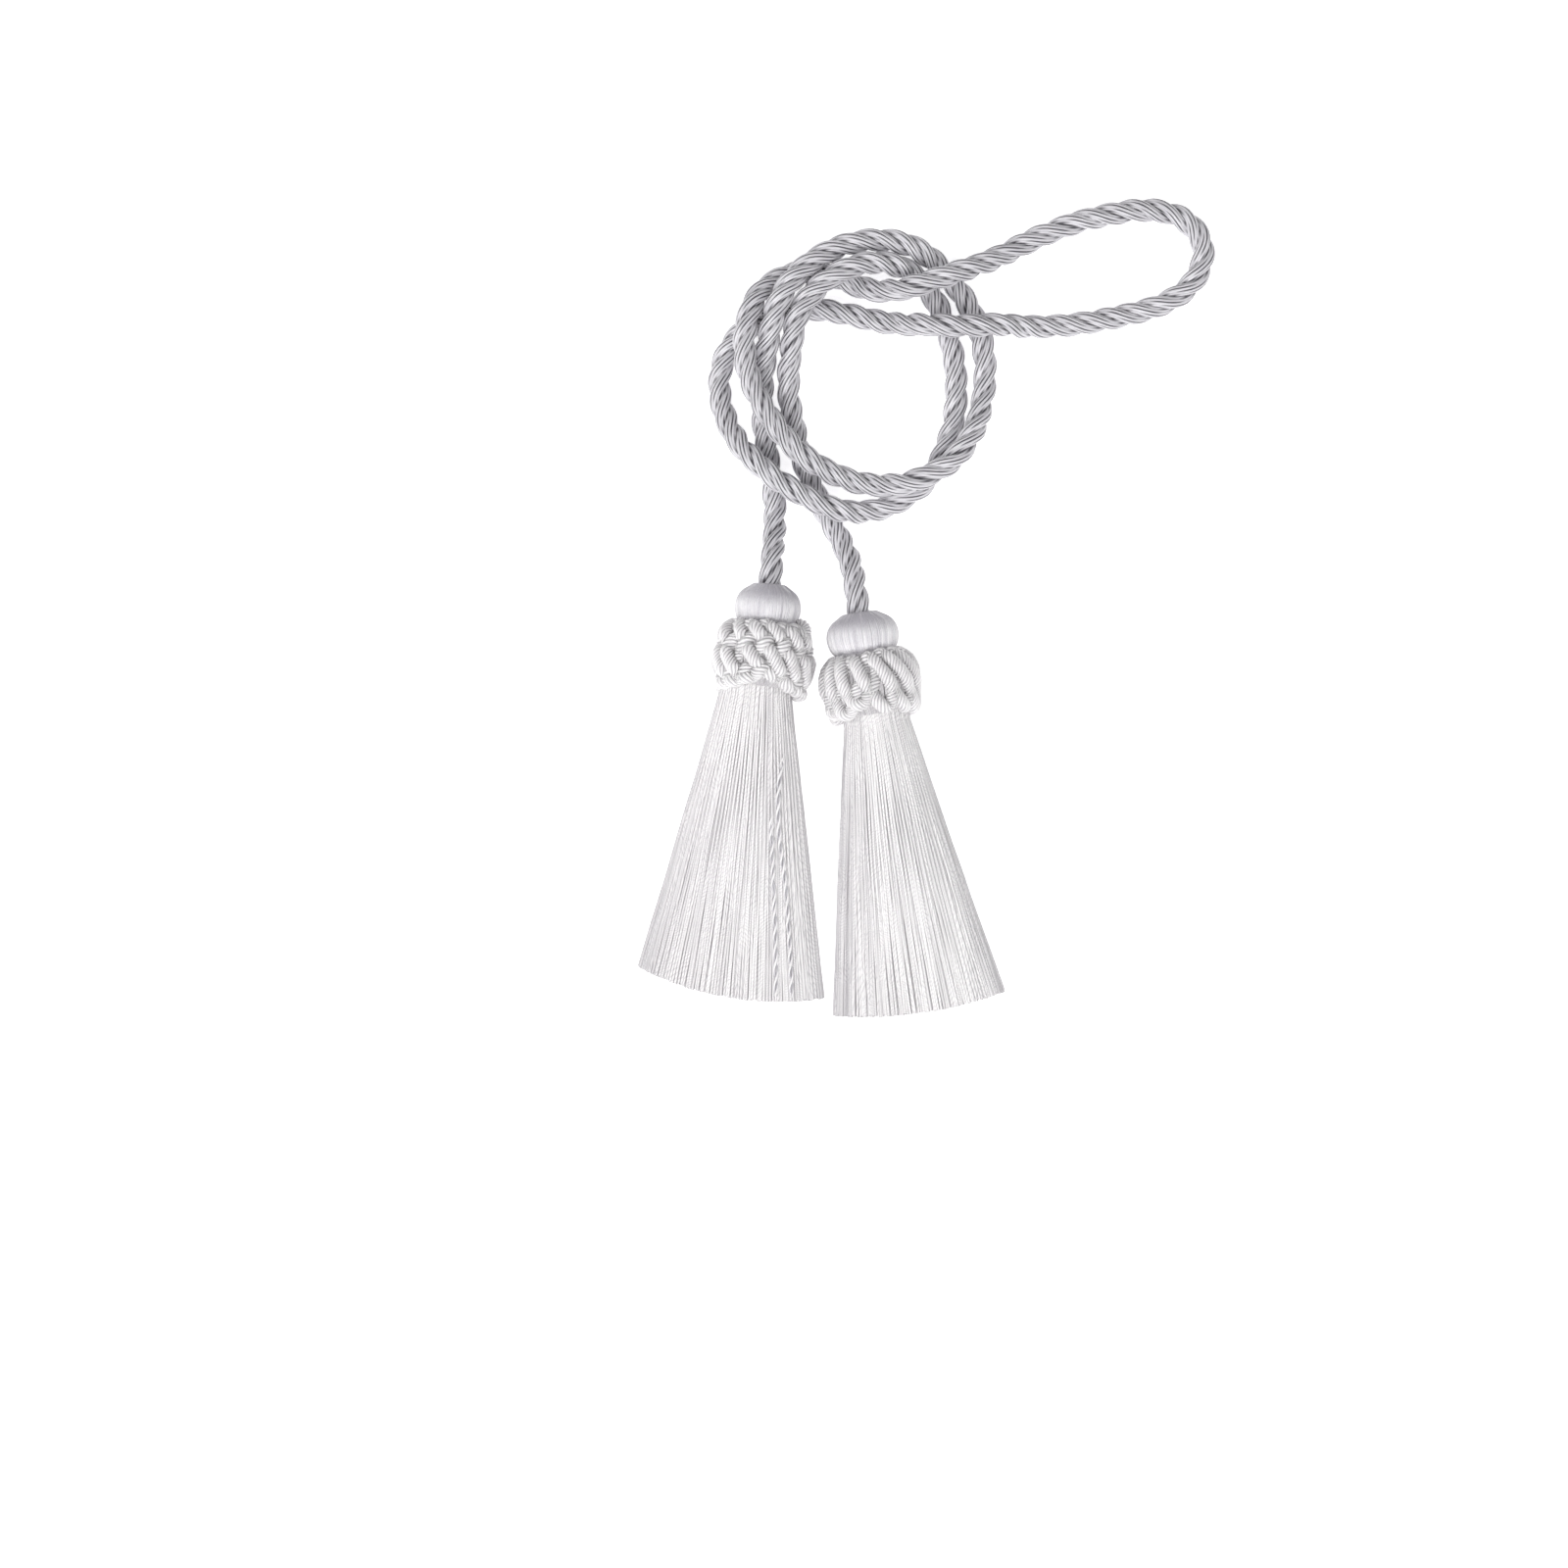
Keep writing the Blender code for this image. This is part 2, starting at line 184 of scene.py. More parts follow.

# How a yarn's surface looks: its roughness, its thickness, the length of one turn of its fibres
# and its relief in millimetres, how dark its streaks are from 0 to 1, how far apart two yarns'
# turns are, and how dark the painted shade is in the groove between its two plies, in the
# grooves between its yarns, in the valleys between a cord's plies and on the crown of a wound
# head. Light goes depth_mm deep into it, which softens the shade between strands.
Finish = namedtuple(
    "Finish",
    "roughness strand_mm twist_mm relief_mm streaks apart stripe grooves valleys crown depth_mm",
    defaults=(0.0,) * 6,
)
FINISHES = {
    # Spun rayon in twisted plies: silver grey, with a satin gleam along each yarn, and painted
    # shade in the grooves between its yarns and in the valleys between its plies.
    "twisted_silver_rayon": Finish(
        roughness=0.40, strand_mm=4.0, twist_mm=120.0, relief_mm=0.45, streaks=0.28,
        grooves=1.0, valleys=0.5,
    ),
    # Rayon filament wound in fine threads: white, glossy where the threads bow towards a light,
    # with painted shade on each thread's sides, and greyer round the crown from painted shade
    # that stands in for the gleam falling lower on the head.
    "wound_white_rayon": Finish(
        roughness=0.26, strand_mm=0.85, twist_mm=6.0, relief_mm=0.1, streaks=0.42, apart=200.0,
        grooves=0.3, crown=0.4,
    ),
    # Rayon wrapped round a core: white, with a fine ridge for every wrap and painted shade in the
    # grooves between the ridges.
    "wrapped_white_rayon": Finish(
        roughness=0.30, strand_mm=4.3, twist_mm=8.0, relief_mm=0.3, streaks=0.1, grooves=0.9,
        depth_mm=2.0,
    ),
    # Cut two-ply rayon yarn: white and satin, each yarn a little lighter or greyer, with painted
    # shade on its two sides and in the groove between its plies. Its twist is drawn coarser and
    # less even than the real one, which would be too fine to show.
    "cut_white_rayon": Finish(
        roughness=0.30, strand_mm=1.05, twist_mm=2.8, relief_mm=0.15, streaks=0.3, apart=200.0,
        stripe=0.5, grooves=1.0,
    ),
    # The same yarn in a slack pair, with painted shade in the valley between the two yarns,
    # which shows dark where they cross.
    "crossed_white_rayon": Finish(
        roughness=0.30, strand_mm=1.05, twist_mm=2.8, relief_mm=0.15, streaks=0.2, apart=200.0,
        stripe=0.3, valleys=1.0,
    ),
}
# Painted shade that greys a wound head's crown, up to a ragged line along the threads
CROWN_SHADE_END = 12.5 * MM  # how far along a thread, from inside the cord's hole, the crown goes
CROWN_SHADE_RAGGED = 2.0 * MM  # how much further or less far it goes on one thread than on another
CROWN_SHADE_FADES = 4.0 * MM  # length over which it turns white
STREAK_SCALE = 6.0  # streaks side by side on a strand, for each radian of its girth
STREAK_STRETCH = 0.12  # how far the streaks' pattern goes on in one thickness along the strand
STREAK_NOISE = (0.35, 0.7)  # the noise at a streak's edge and in its middle
GREY_SPAN = (-1.0, 3.0)  # the shades of a white yarn and of one twice as dark as its streaks
# Painted shade: the groove between two plies, the grooves between yarns and the valleys between a
# cord's plies are drawn darker, within these bounds.
STRIPE_EDGE = 0.5  # how far out from the groove between two plies its shade ends, of 1
GROOVE_EDGE = 0.1  # how high up from a groove, at -1, to a ridge, at 1, its shade ends
CREST_EDGE = (0.6, 0.95)  # how far a ply faces outwards, of 1, off its crest and on it
CREST_GROOVES = (0.15, 1.2)  # how much of the grooves' shade shows off the crest and on it
VALLEY_EDGE = (-0.1, 0.3)  # how far a ply faces outwards where a valley's shade starts and ends
RAYON_IOR = 1.53

# Heights of the skirt at shares of the yarns' length: its underside, its widest line, its crown.
SKIRT_ROWS = table(
    "SkirtRow",
    "share low_mm wide_mm top_mm",
    (0.000, 4.9, 15.5, 26.1), (0.031, 4.0, 14.8, 26.4), (0.093, 2.0, 12.0, 25.6),
    (0.168, 0.0, 8.6, 23.4), (0.272, 0.0, 6.0, 20.2), (0.404, 0.0, 4.4, 16.8),
    (0.546, 0.0, 3.4, 13.8), (0.687, 0.0, 2.8, 11.2), (0.820, 0.0, 2.4, 9.2),
    (1.000, 0.0, 2.0, 7.6),
)
SKIRT_TALLEST = 26.4  # millimetres; the height that the curves of a skirt's section call 1
SKIRT_START = 32.5 * MM  # distance from the cord's hole to the yarns' hidden ends
SKIRT_NECK = 37.5 * MM  # distance from the cord's hole to where the skirt comes out of the ruff

YARN_STEPS = 18  # straight stretches in each yarn

# How uneven a skirt's yarns lie. A waver is given in metres; the others are shares or counts.
ASIDE_VARIES = 0.1  # in places of a yarn, side by side
DEPTH_VARIES = 0.3  # in layers
WAVES = 2.0  # waves in a yarn's length
WAVES_VARY = 0.8
SIDE_WAVE = 0.5  # of the waver
HEIGHT_WAVE = 0.4  # of the waver
EVERY_OTHER_SINKS = 0.9  # of the sink at the neck, which leaves lines between the yarns
SINK_VARIES = 0.25
PARTING_REACH = 0.06  # to each side, where the skirt reaches 1
PARTING_OPENS = (0.15, 0.5)  # shares of the way down

# How grey a skirt's yarns are, from about -1 to 3: one by one and in groups as their own tone,
# and with painted shade at the skirt's edges and for each metre of a parting's depth.
GREY_OWN = 0.4
GREY_GROUPS = 0.6
GREY_GROUPS_NOISE = (0.4, 0.7)
GREY_GROUPS_FINE = (7.0, 1.5, 5000.0)  # across, along and, by its drift, from skirt to skirt
PAINTED_EDGE_SHADE = 2.8
PAINTED_PARTING_SHADE = 1.5 / MM

# The way of the slack pairs of yarns, twisted together, that lie on the left skirt.
PAIR_SUNK = 1.6  # millimetres under the other yarns, where a pair comes out between them
PAIR_OFFSET = 0.5  # from the pair's middle to a yarn's, in thicknesses of a yarn
PAIR_RADIUS = 0.42  # in thicknesses of a yarn, which the twist draws in
PAIRS = (
    table(
        "PairRow",
        "aside_mm along_mm",
        (9.6, 56.0), (9.2, 67.1), (11.3, 87.0), (13.5, 96.9), (15.4, 106.7), (17.0, 116.6),
        (18.7, 128.2), (20.0, 139.0),
    ),
    table(
        "PairRow",
        "aside_mm along_mm",
        (7.4, 76.0), (8.4, 86.0), (9.8, 97.0), (11.8, 112.0), (13.4, 126.0), (14.6, 139.0),
    ),
)

# What the camera looks down on, and the lamps: metres and watts.
SEEN_CENTRE = Vector((-12.5, 6.0, 6.0)) * MM
LIT_PLACE = Vector((-12.5, 60.0, 0.0)) * MM
SENSOR_WIDTH = 36.0  # millimetres
FLOOR_REACH = 4.0
FLOOR_CORNERS = ((-1, -1), (1, -1), (1, 1), (-1, 1))
WORLD_STRENGTH = 0.24
LAMPS = table(
    "Lamp",
    "name size watts place",
    ("left_key", 0.6, 8.0, (-1.3, 0.3, 1.0)),
    ("front", 1.4, 28.0, (-0.2, -1.1, 1.5)),
    ("right_fill", 0.6, 4.0, (1.2, 0.2, 0.9)),
    ("overhead", 1.6, 3.0, (0.0, 0.2, 1.9)),
)


# ---- Paths ----


def tassel_place(tassel):
    """The turn and move that put a tassel made along -Y where it lies."""
    hole = Vector((tassel.x * MM, tassel.y * MM, 0.0))
    return Matrix.Translation(hole) @ Matrix.Rotation(math.radians(tassel.lean), 4, "Z")


def smooth_curve(knots):
    """Points on the natural cubic spline through the knots, CURVE_STEPS to a stretch."""
    spans = np.linalg.norm(np.diff(knots, axis=0), axis=1)
    slopes = np.diff(knots, axis=0) / spans[:, None]
    system = np.eye(len(knots))
    wanted = np.zeros_like(knots)
    for index in range(1, len(knots) - 1):
        before, after = spans[index - 1], spans[index]
        system[index, index - 1 : index + 2] = before, 2.0 * (before + after), after
        wanted[index] = 6.0 * (slopes[index] - slopes[index - 1])
    bend = np.linalg.solve(system, wanted)
    curve = [knots[0]]
    for index, span in enumerate(spans):
        for step in range(1, CURVE_STEPS + 1):
            to, back = step / CURVE_STEPS, 1.0 - step / CURVE_STEPS
            sag = (back**3 - back) * bend[index] + (to**3 - to) * bend[index + 1]
            curve.append(back * knots[index] + to * knots[index + 1] + sag * span**2 / 6.0)
    return np.array(curve)


def evenly_spaced(curve, step):
    """Points about this far apart along the curve."""
    steps = np.linalg.norm(np.diff(curve, axis=0), axis=1)
    travelled = np.concatenate(((0.0,), np.cumsum(steps)))
    stops = np.linspace(0.0, travelled[-1], round(travelled[-1] / step) + 1)
    return np.stack([np.interp(stops, travelled, curve[:, axis]) for axis in range(3)], axis=1)


def cord_lead(tassel):
    """The cord's end inside the head, and the point where its straight lead ends."""
    lean = math.radians(tassel.lean)
    outwards = np.array((-math.sin(lean), math.cos(lean), 0.0))
    hole = np.array((tassel.x * MM, tassel.y * MM, AXIS_HEIGHT))
    return [hole - CORD_INSIDE * outwards, hole + CORD_LEAD * outwards]


def cord_path():
    """The cord's middle line from inside one head to inside the other, above the surface."""
    route = np.array(CORD_ROUTE) * MM
    knots = np.vstack((cord_lead(TASSELS[0]), route, cord_lead(TASSELS[1])[::-1]))
    path = evenly_spaced(smooth_curve(knots), PATH_STEP)
    path[:, 2] = np.maximum(path[:, 2], LYING * MM)
    return path


def ruff_path(lay, loops):
    """The middle line of one cord knotted round the tassel's neck, axis towards -Y."""
    cycles = np.linspace(0.0, loops, loops * RUFF_LOOP_STEPS + 1)
    phase = TAU * cycles
    random = np.random.default_rng(lay.seed)

    def uneven(size):
        """A value that changes smoothly from loop to loop."""
        values = random.normal(0.0, size, loops)
        return np.interp(cycles, np.arange(loops + 1), np.append(values, values[0]))

    angle = -TAU / 4.0 - TAU * lay.turns * cycles / loops
    side = np.abs(np.cos(angle))
    bottom = lay.front + (lay.side - lay.front) * side + uneven(RUFF_ENDS_VARY)
    top = lay.top + uneven(RUFF_ENDS_VARY)
    along = top + (bottom - top) * (0.5 + 0.5 * np.cos(phase))
    share = 0.5 - 0.5 * np.cos(phase)
    angle += math.radians(lay.lean) * np.cos(angle) * (share - 0.5)
    angle += math.radians(1.0) * uneven(RUFF_TURN_VARIES)
    rows = np.array(RUFF_ROWS)
    radius = np.interp(along, rows[:, 0], rows[:, 1]) + uneven(RUFF_RADIUS_VARIES)
    weave = 1.0 + lay.weave * np.cos(lay.turns * phase)
    radius -= RUFF_CROSSING * np.clip(np.sin(phase) * weave, -1.0, 1.0)
    points = np.stack((radius * np.cos(angle), -along, radius * np.sin(angle)), axis=1) * MM
    points[:, 2] += AXIS_HEIGHT
    return evenly_spaced(points, PATH_STEP / 2.0)


def laid_path(rows):
    """A smooth line through rows of aside, along and height, axis towards -Y."""
    knots = np.array([(row[0], -row[1], row[2]) for row in rows]) * MM
    return evenly_spaced(smooth_curve(knots), PATH_STEP / 2.0)


def pair_path(tassel, pair):
    """The middle line of a slack pair of yarns, on the skirt's upper side."""
    shares, _, wide, top = np.array(SKIRT_ROWS).T
    rows = []
    sunk = PAIR_SUNK
    for aside, along in pair:
        spread = max(0.0, (along * MM - SKIRT_NECK) / (tassel.length * MM - SKIRT_NECK))
        across = (aside - tassel.drift) / (tassel.neck + (tassel.hem - tassel.neck) * spread)
        edge, crown = np.interp(spread, shares, wide), np.interp(spread, shares, top)
        rows.append((aside, along, edge + (crown - edge) * math.sqrt(1.0 - across**2) - sunk))
        sunk = 0.0
    return laid_path(rows)


def turned_path(rows, radius_scale, step):
    """A smooth line through rows of along and radius, in the half plane x > 0 of the axis."""
    knots = np.array([(row[1] * radius_scale, -row[0] * MM, AXIS_HEIGHT) for row in rows])
    return evenly_spaced(smooth_curve(knots), step)


# ---- Geometry Nodes and materials ----


def add_node(tree, kind, inputs=(), operation=None, **settings):
    """Adds a node with its settings, and fills its inputs in order or by name.

    An input is filled with a value, or linked to another node or to one of its outputs.
    """
    node = tree.nodes.new(kind)
    if operation:
        node.operation = operation
    for setting, value in settings.items():
        setattr(node, setting, value)
    for key, value in inputs.items() if isinstance(inputs, dict) else enumerate(inputs):
        if isinstance(value, bpy.types.Node):
            value = value.outputs[0]
        if isinstance(value, bpy.types.NodeSocket):
            tree.links.new(value, node.inputs[key])
        else:
            node.inputs[key].default_value = value
    return node


def new_tree(name, **labels):
    """A Geometry Nodes tree with these inputs of each kind, and its input node's outputs."""
    tree = bpy.data.node_groups.new(name, "GeometryNodeTree")
    tree.interface.new_socket("Geometry", in_out="INPUT", socket_type="NodeSocketGeometry")
    for kind, names in labels.items():
        for label in names:
            tree.interface.new_socket(label, in_out="INPUT", socket_type=f"NodeSocket{kind}")
    tree.interface.new_socket("Geometry", in_out="OUTPUT", socket_type="NodeSocketGeometry")
    return tree, add_node(tree, "NodeGroupInput").outputs


def finish_tree(tree, geometry, material):
    """Presses the shape flat on the surface, and ends the tree."""
    add = partial(add_node, tree)
    place = add("ShaderNodeSeparateXYZ", (add("GeometryNodeInputPosition"),)).outputs
    height = add(MATH, (place[2], 0.0), "MAXIMUM")
    pressed = add("ShaderNodeCombineXYZ", (place[0], place[1], height))
    laid = add("GeometryNodeSetPosition", {"Geometry": geometry, "Position": pressed})
    smooth = add("GeometryNodeSetShadeSmooth", {"Geometry": laid})
    real = add("GeometryNodeRealizeInstances", {"Geometry": smooth})
    painted = add("GeometryNodeSetMaterial", {"Geometry": real, "Material": material})
    add("NodeGroupOutput", {"Geometry": painted})


def yarn_profile(tree, radius, sides, lobes, depth, start=0.0):
    """A closed outline for a strand, with a groove between its yarns, the first one at start.

    The attribute around keeps each point's direction, and -1 in a groove to 1 on a ridge.
    """
    add = partial(add_node, tree)
    circle = add("GeometryNodeCurvePrimitiveCircle", {"Resolution": sides, "Radius": 1.0})
    factor = add("GeometryNodeSplineParameter").outputs["Factor"]
    angle = add(MATH, (factor, TAU, start), "MULTIPLY_ADD")
    lobe_angle = add(MATH, (angle, lobes), "MULTIPLY")
    groove = add(MATH, (lobe_angle,), "COSINE")
    wave = add(MATH, (groove, -1.0), "MULTIPLY")
    cosine = add(MATH, (angle,), "COSINE")
    sine = add(MATH, (angle,), "SINE")
    around = add("ShaderNodeCombineXYZ", (cosine, sine, wave))
    inputs = {"Geometry": circle, "Name": "around", "Value": around}
    kept = add(STORE, inputs, data_type="FLOAT_VECTOR")
    swell = add(MATH, (wave, depth, 1.0), "MULTIPLY_ADD")
    size = add(MATH, (swell, radius), "MULTIPLY")
    position = add("GeometryNodeInputPosition")
    grown = add(VECTOR_MATH, {0: position, "Scale": size}, "SCALE")
    return add("GeometryNodeSetPosition", {"Geometry": kept, "Position": grown})


def sweep(tree, rails, profile, fibre_angle):
    """Tubes along the rails, with the direction of their fibres kept in the attribute lay."""
    add = partial(add_node, tree)
    inputs = {"Geometry": rails, "Name": "lay", "Value": add("GeometryNodeInputTangent")}
    laid = add(STORE, inputs, data_type="FLOAT_VECTOR")
    inputs = {"Curve": laid, "Profile Curve": profile, "Fill Caps": True}
    tube = add("GeometryNodeCurveToMesh", inputs)
    straight = add(KEPT, {"Name": "lay"}, data_type="FLOAT_VECTOR")
    inputs = {"Vector": straight, "Axis": add("GeometryNodeInputNormal"), "Angle": fibre_angle}
    turned = add("ShaderNodeVectorRotate", inputs, rotation_type="AXIS_ANGLE")
    inputs = {"Geometry": tube, "Name": "lay", "Value": turned}
    return add(STORE, inputs, data_type="FLOAT_VECTOR")


def twisted_cord_tree():
    """Plies wound round a path, each a bundle of yarns with its own turn."""
    tree, given = new_tree(
        "Twisted cord",
        Float=(
            "Ring Step", "Ply Offset", "Ply Radius", "Pitch", "Slackness", "Yarn Depth",
            "Yarn Turns", "Fibre Angle", "Seed",
        ),
        Int=("Plies", "Sides", "Yarns"),
        Material=("Material",),
    )
    add = partial(add_node, tree)
    path = add("GeometryNodeMeshToCurve", (given["Geometry"],))
    step = {"Curve": path, "Length": given["Ring Step"]}
    rings = add("GeometryNodeResampleCurve", step, mode="LENGTH")
    length = add("GeometryNodeSplineParameter").outputs["Length"]
    normal = add("GeometryNodeInputNormal").outputs[0]
    tangent = add("GeometryNodeInputTangent")
    across = add(VECTOR_MATH, (tangent, normal), "CROSS_PRODUCT").outputs[0]
    for name, value, kind in (
        ("along", length, "FLOAT"),
        ("normal", normal, "FLOAT_VECTOR"),
        ("across", across, "FLOAT_VECTOR"),
    ):
        inputs = {"Geometry": rings, "Name": name, "Value": value}
        rings = add(STORE, inputs, data_type=kind)
    along = add(KEPT, {"Name": "along"}, data_type="FLOAT")
    normal = add(KEPT, {"Name": "normal"}, data_type="FLOAT_VECTOR")
    across = add(KEPT, {"Name": "across"}, data_type="FLOAT_VECTOR")
    copies = {"Geometry": rings, "Amount": given["Plies"]}
    plies = add("GeometryNodeDuplicateElements", copies, domain="SPLINE")
    ply = plies.outputs["Duplicate Index"]

    # The plies' turn round the path, a little uneven along it.
    turns = add(MATH, (along, given["Pitch"]), "DIVIDE")
    share = add(MATH, (ply, given["Plies"]), "DIVIDE")
    seed = add(MATH, (ply, PLY_SEEDS_APART, given["Seed"]), "MULTIPLY_ADD")
    slow = add(MATH, (along, 1.0 / SLACK_WAVE, seed), "MULTIPLY_ADD")
    inputs = {"W": slow, "Scale": 1.0, "Detail": 1.0}
    noise = add("ShaderNodeTexNoise", inputs, noise_dimensions="1D")
    loose = add(MATH, (noise, 0.5), "SUBTRACT")
    waver = add(MATH, (loose, given["Slackness"], share), "MULTIPLY_ADD")
    wound = add(MATH, (turns, waver), "ADD")
    phase = add(MATH, (wound, TAU), "MULTIPLY")
    cosine = add(MATH, (phase,), "COSINE")
    sine = add(MATH, (phase,), "SINE")
    first = add(VECTOR_MATH, {0: normal, "Scale": cosine}, "SCALE")
    second = add(VECTOR_MATH, {0: across, "Scale": sine}, "SCALE")
    outwards = add(VECTOR_MATH, (first, second), "ADD")
    offset = add(VECTOR_MATH, {0: outwards, "Scale": given["Ply Offset"]}, "SCALE")
    helix = add("GeometryNodeSetPosition", {"Geometry": plies, "Offset": offset})
    yarn_turns = add(MATH, (along, given["Yarn Turns"]), "MULTIPLY")
    tilt = add(MATH, (yarn_turns, TAU), "MULTIPLY")
    tilted = add("GeometryNodeSetCurveTilt", {"Curve": helix, "Tilt": tilt})
    shaded = add(STORE, {"Geometry": tilted, "Name": "shade", "Value": noise})
    inputs = {"Geometry": shaded, "Name": "outwards", "Value": outwards}
    faced = add(STORE, inputs, data_type="FLOAT_VECTOR")
    profile = yarn_profile(
        tree, given["Ply Radius"], given["Sides"], given["Yarns"], given["Yarn Depth"]
    )
    tube = sweep(tree, faced, profile, given["Fibre Angle"])

    # How far each point of a ply faces away from the cord's middle, from -1 to 1, which sets
    # where the material paints shade in the grooves and valleys.
    outer = add(KEPT, {"Name": "outwards"}, data_type="FLOAT_VECTOR")
    facing = add(VECTOR_MATH, (outer, add("GeometryNodeInputNormal")), "DOT_PRODUCT")
    inputs = {"Geometry": tube, "Name": "crest", "Value": facing.outputs["Value"]}
    finish_tree(tree, add(STORE, inputs), given["Material"])
    return tree


def wound_threads_tree():
    """Copies of one thread's path set round the tassel's axis, a little unevenly."""
    tree, given = new_tree(
        "Wound threads",
        Float=("Thread Radius", "Slack", "Unevenness"),
        Int=("Threads", "Seed"),
        Material=("Material",),
    )
    add = partial(add_node, tree)
    path = add("GeometryNodeMeshToCurve", (given["Geometry"],))
    parameter = add("GeometryNodeSplineParameter").outputs
    kept = add(STORE, {"Geometry": path, "Name": "along", "Value": parameter["Length"]})
    copies = {"Geometry": kept, "Amount": given["Threads"]}
    threads = add("GeometryNodeDuplicateElements", copies, domain="SPLINE")
    thread = threads.outputs["Duplicate Index"]
    chances = []
    for number in range(4):
        seed = add(MATH, (given["Seed"], float(number)), "ADD")
        inputs = {"Min": -1.0, "Max": 1.0, "ID": thread, "Seed": seed}
        chances.append(add("FunctionNodeRandomValue", inputs, data_type="FLOAT").outputs[1])
    start, drift, swell, shade = chances
    leaning = add(MATH, (drift, parameter["Factor"], start), "MULTIPLY_ADD")
    jitter = add(MATH, (leaning, given["Slack"], thread), "MULTIPLY_ADD")
    turn = add(MATH, (jitter, given["Threads"]), "DIVIDE")
    angle = add(MATH, (turn, TAU), "MULTIPLY")
    proud = add(MATH, (swell, given["Unevenness"]), "MULTIPLY")
    outwards = add("ShaderNodeCombineXYZ", (proud,))
    lifted = add(VECTOR_MATH, (add("GeometryNodeInputPosition"), outwards), "ADD")
    inputs = {"Vector": lifted, "Center": (0.0, 0.0, AXIS_HEIGHT), "Angle": angle}
    turned = add("ShaderNodeVectorRotate", inputs, rotation_type="Y_AXIS")
    placed = add("GeometryNodeSetPosition", {"Geometry": threads, "Position": turned})

    # Neighbouring threads are shaded more or less alike.
    slowly = add(MATH, (thread, 1.0 / THREADS_ALIKE), "MULTIPLY")
    alike = add("ShaderNodeTexNoise", {"W": slowly, "Scale": 1.0}, noise_dimensions="1D")
    grouped = add(MAP_RANGE, (alike, *NOISE_SPAN, -1.0, 1.0))
    greyness = add(MATH, (shade, THREAD_OWN_GREY, grouped), "MULTIPLY_ADD")
    shaded = add(STORE, {"Geometry": placed, "Name": "shade", "Value": greyness})
    profile = yarn_profile(
        tree, given["Thread Radius"], YARN_SIDES, YARN_SHADED_SIDES, depth=0.0, start=TAU / 4.0
    )
    finish_tree(tree, sweep(tree, shaded, profile, 0.0), given["Material"])
    return tree


def section_curve(tree, share, heights):
    """A height along the yarns, in metres, from a table of shares and millimetres."""
    node = add_node(tree, "ShaderNodeFloatCurve", {"Value": share})
    points = node.mapping.curves[0].points
    shares = [row.share for row in SKIRT_ROWS]
    points[0].location = (shares[0], heights[0] / SKIRT_TALLEST)
    points[-1].location = (shares[-1], heights[-1] / SKIRT_TALLEST)
    for place, height in zip(shares[1:-1], heights[1:-1]):
        points.new(place, height / SKIRT_TALLEST)
    node.mapping.update()
    return add_node(tree, MATH, (node, SKIRT_TALLEST * MM), "MULTIPLY")


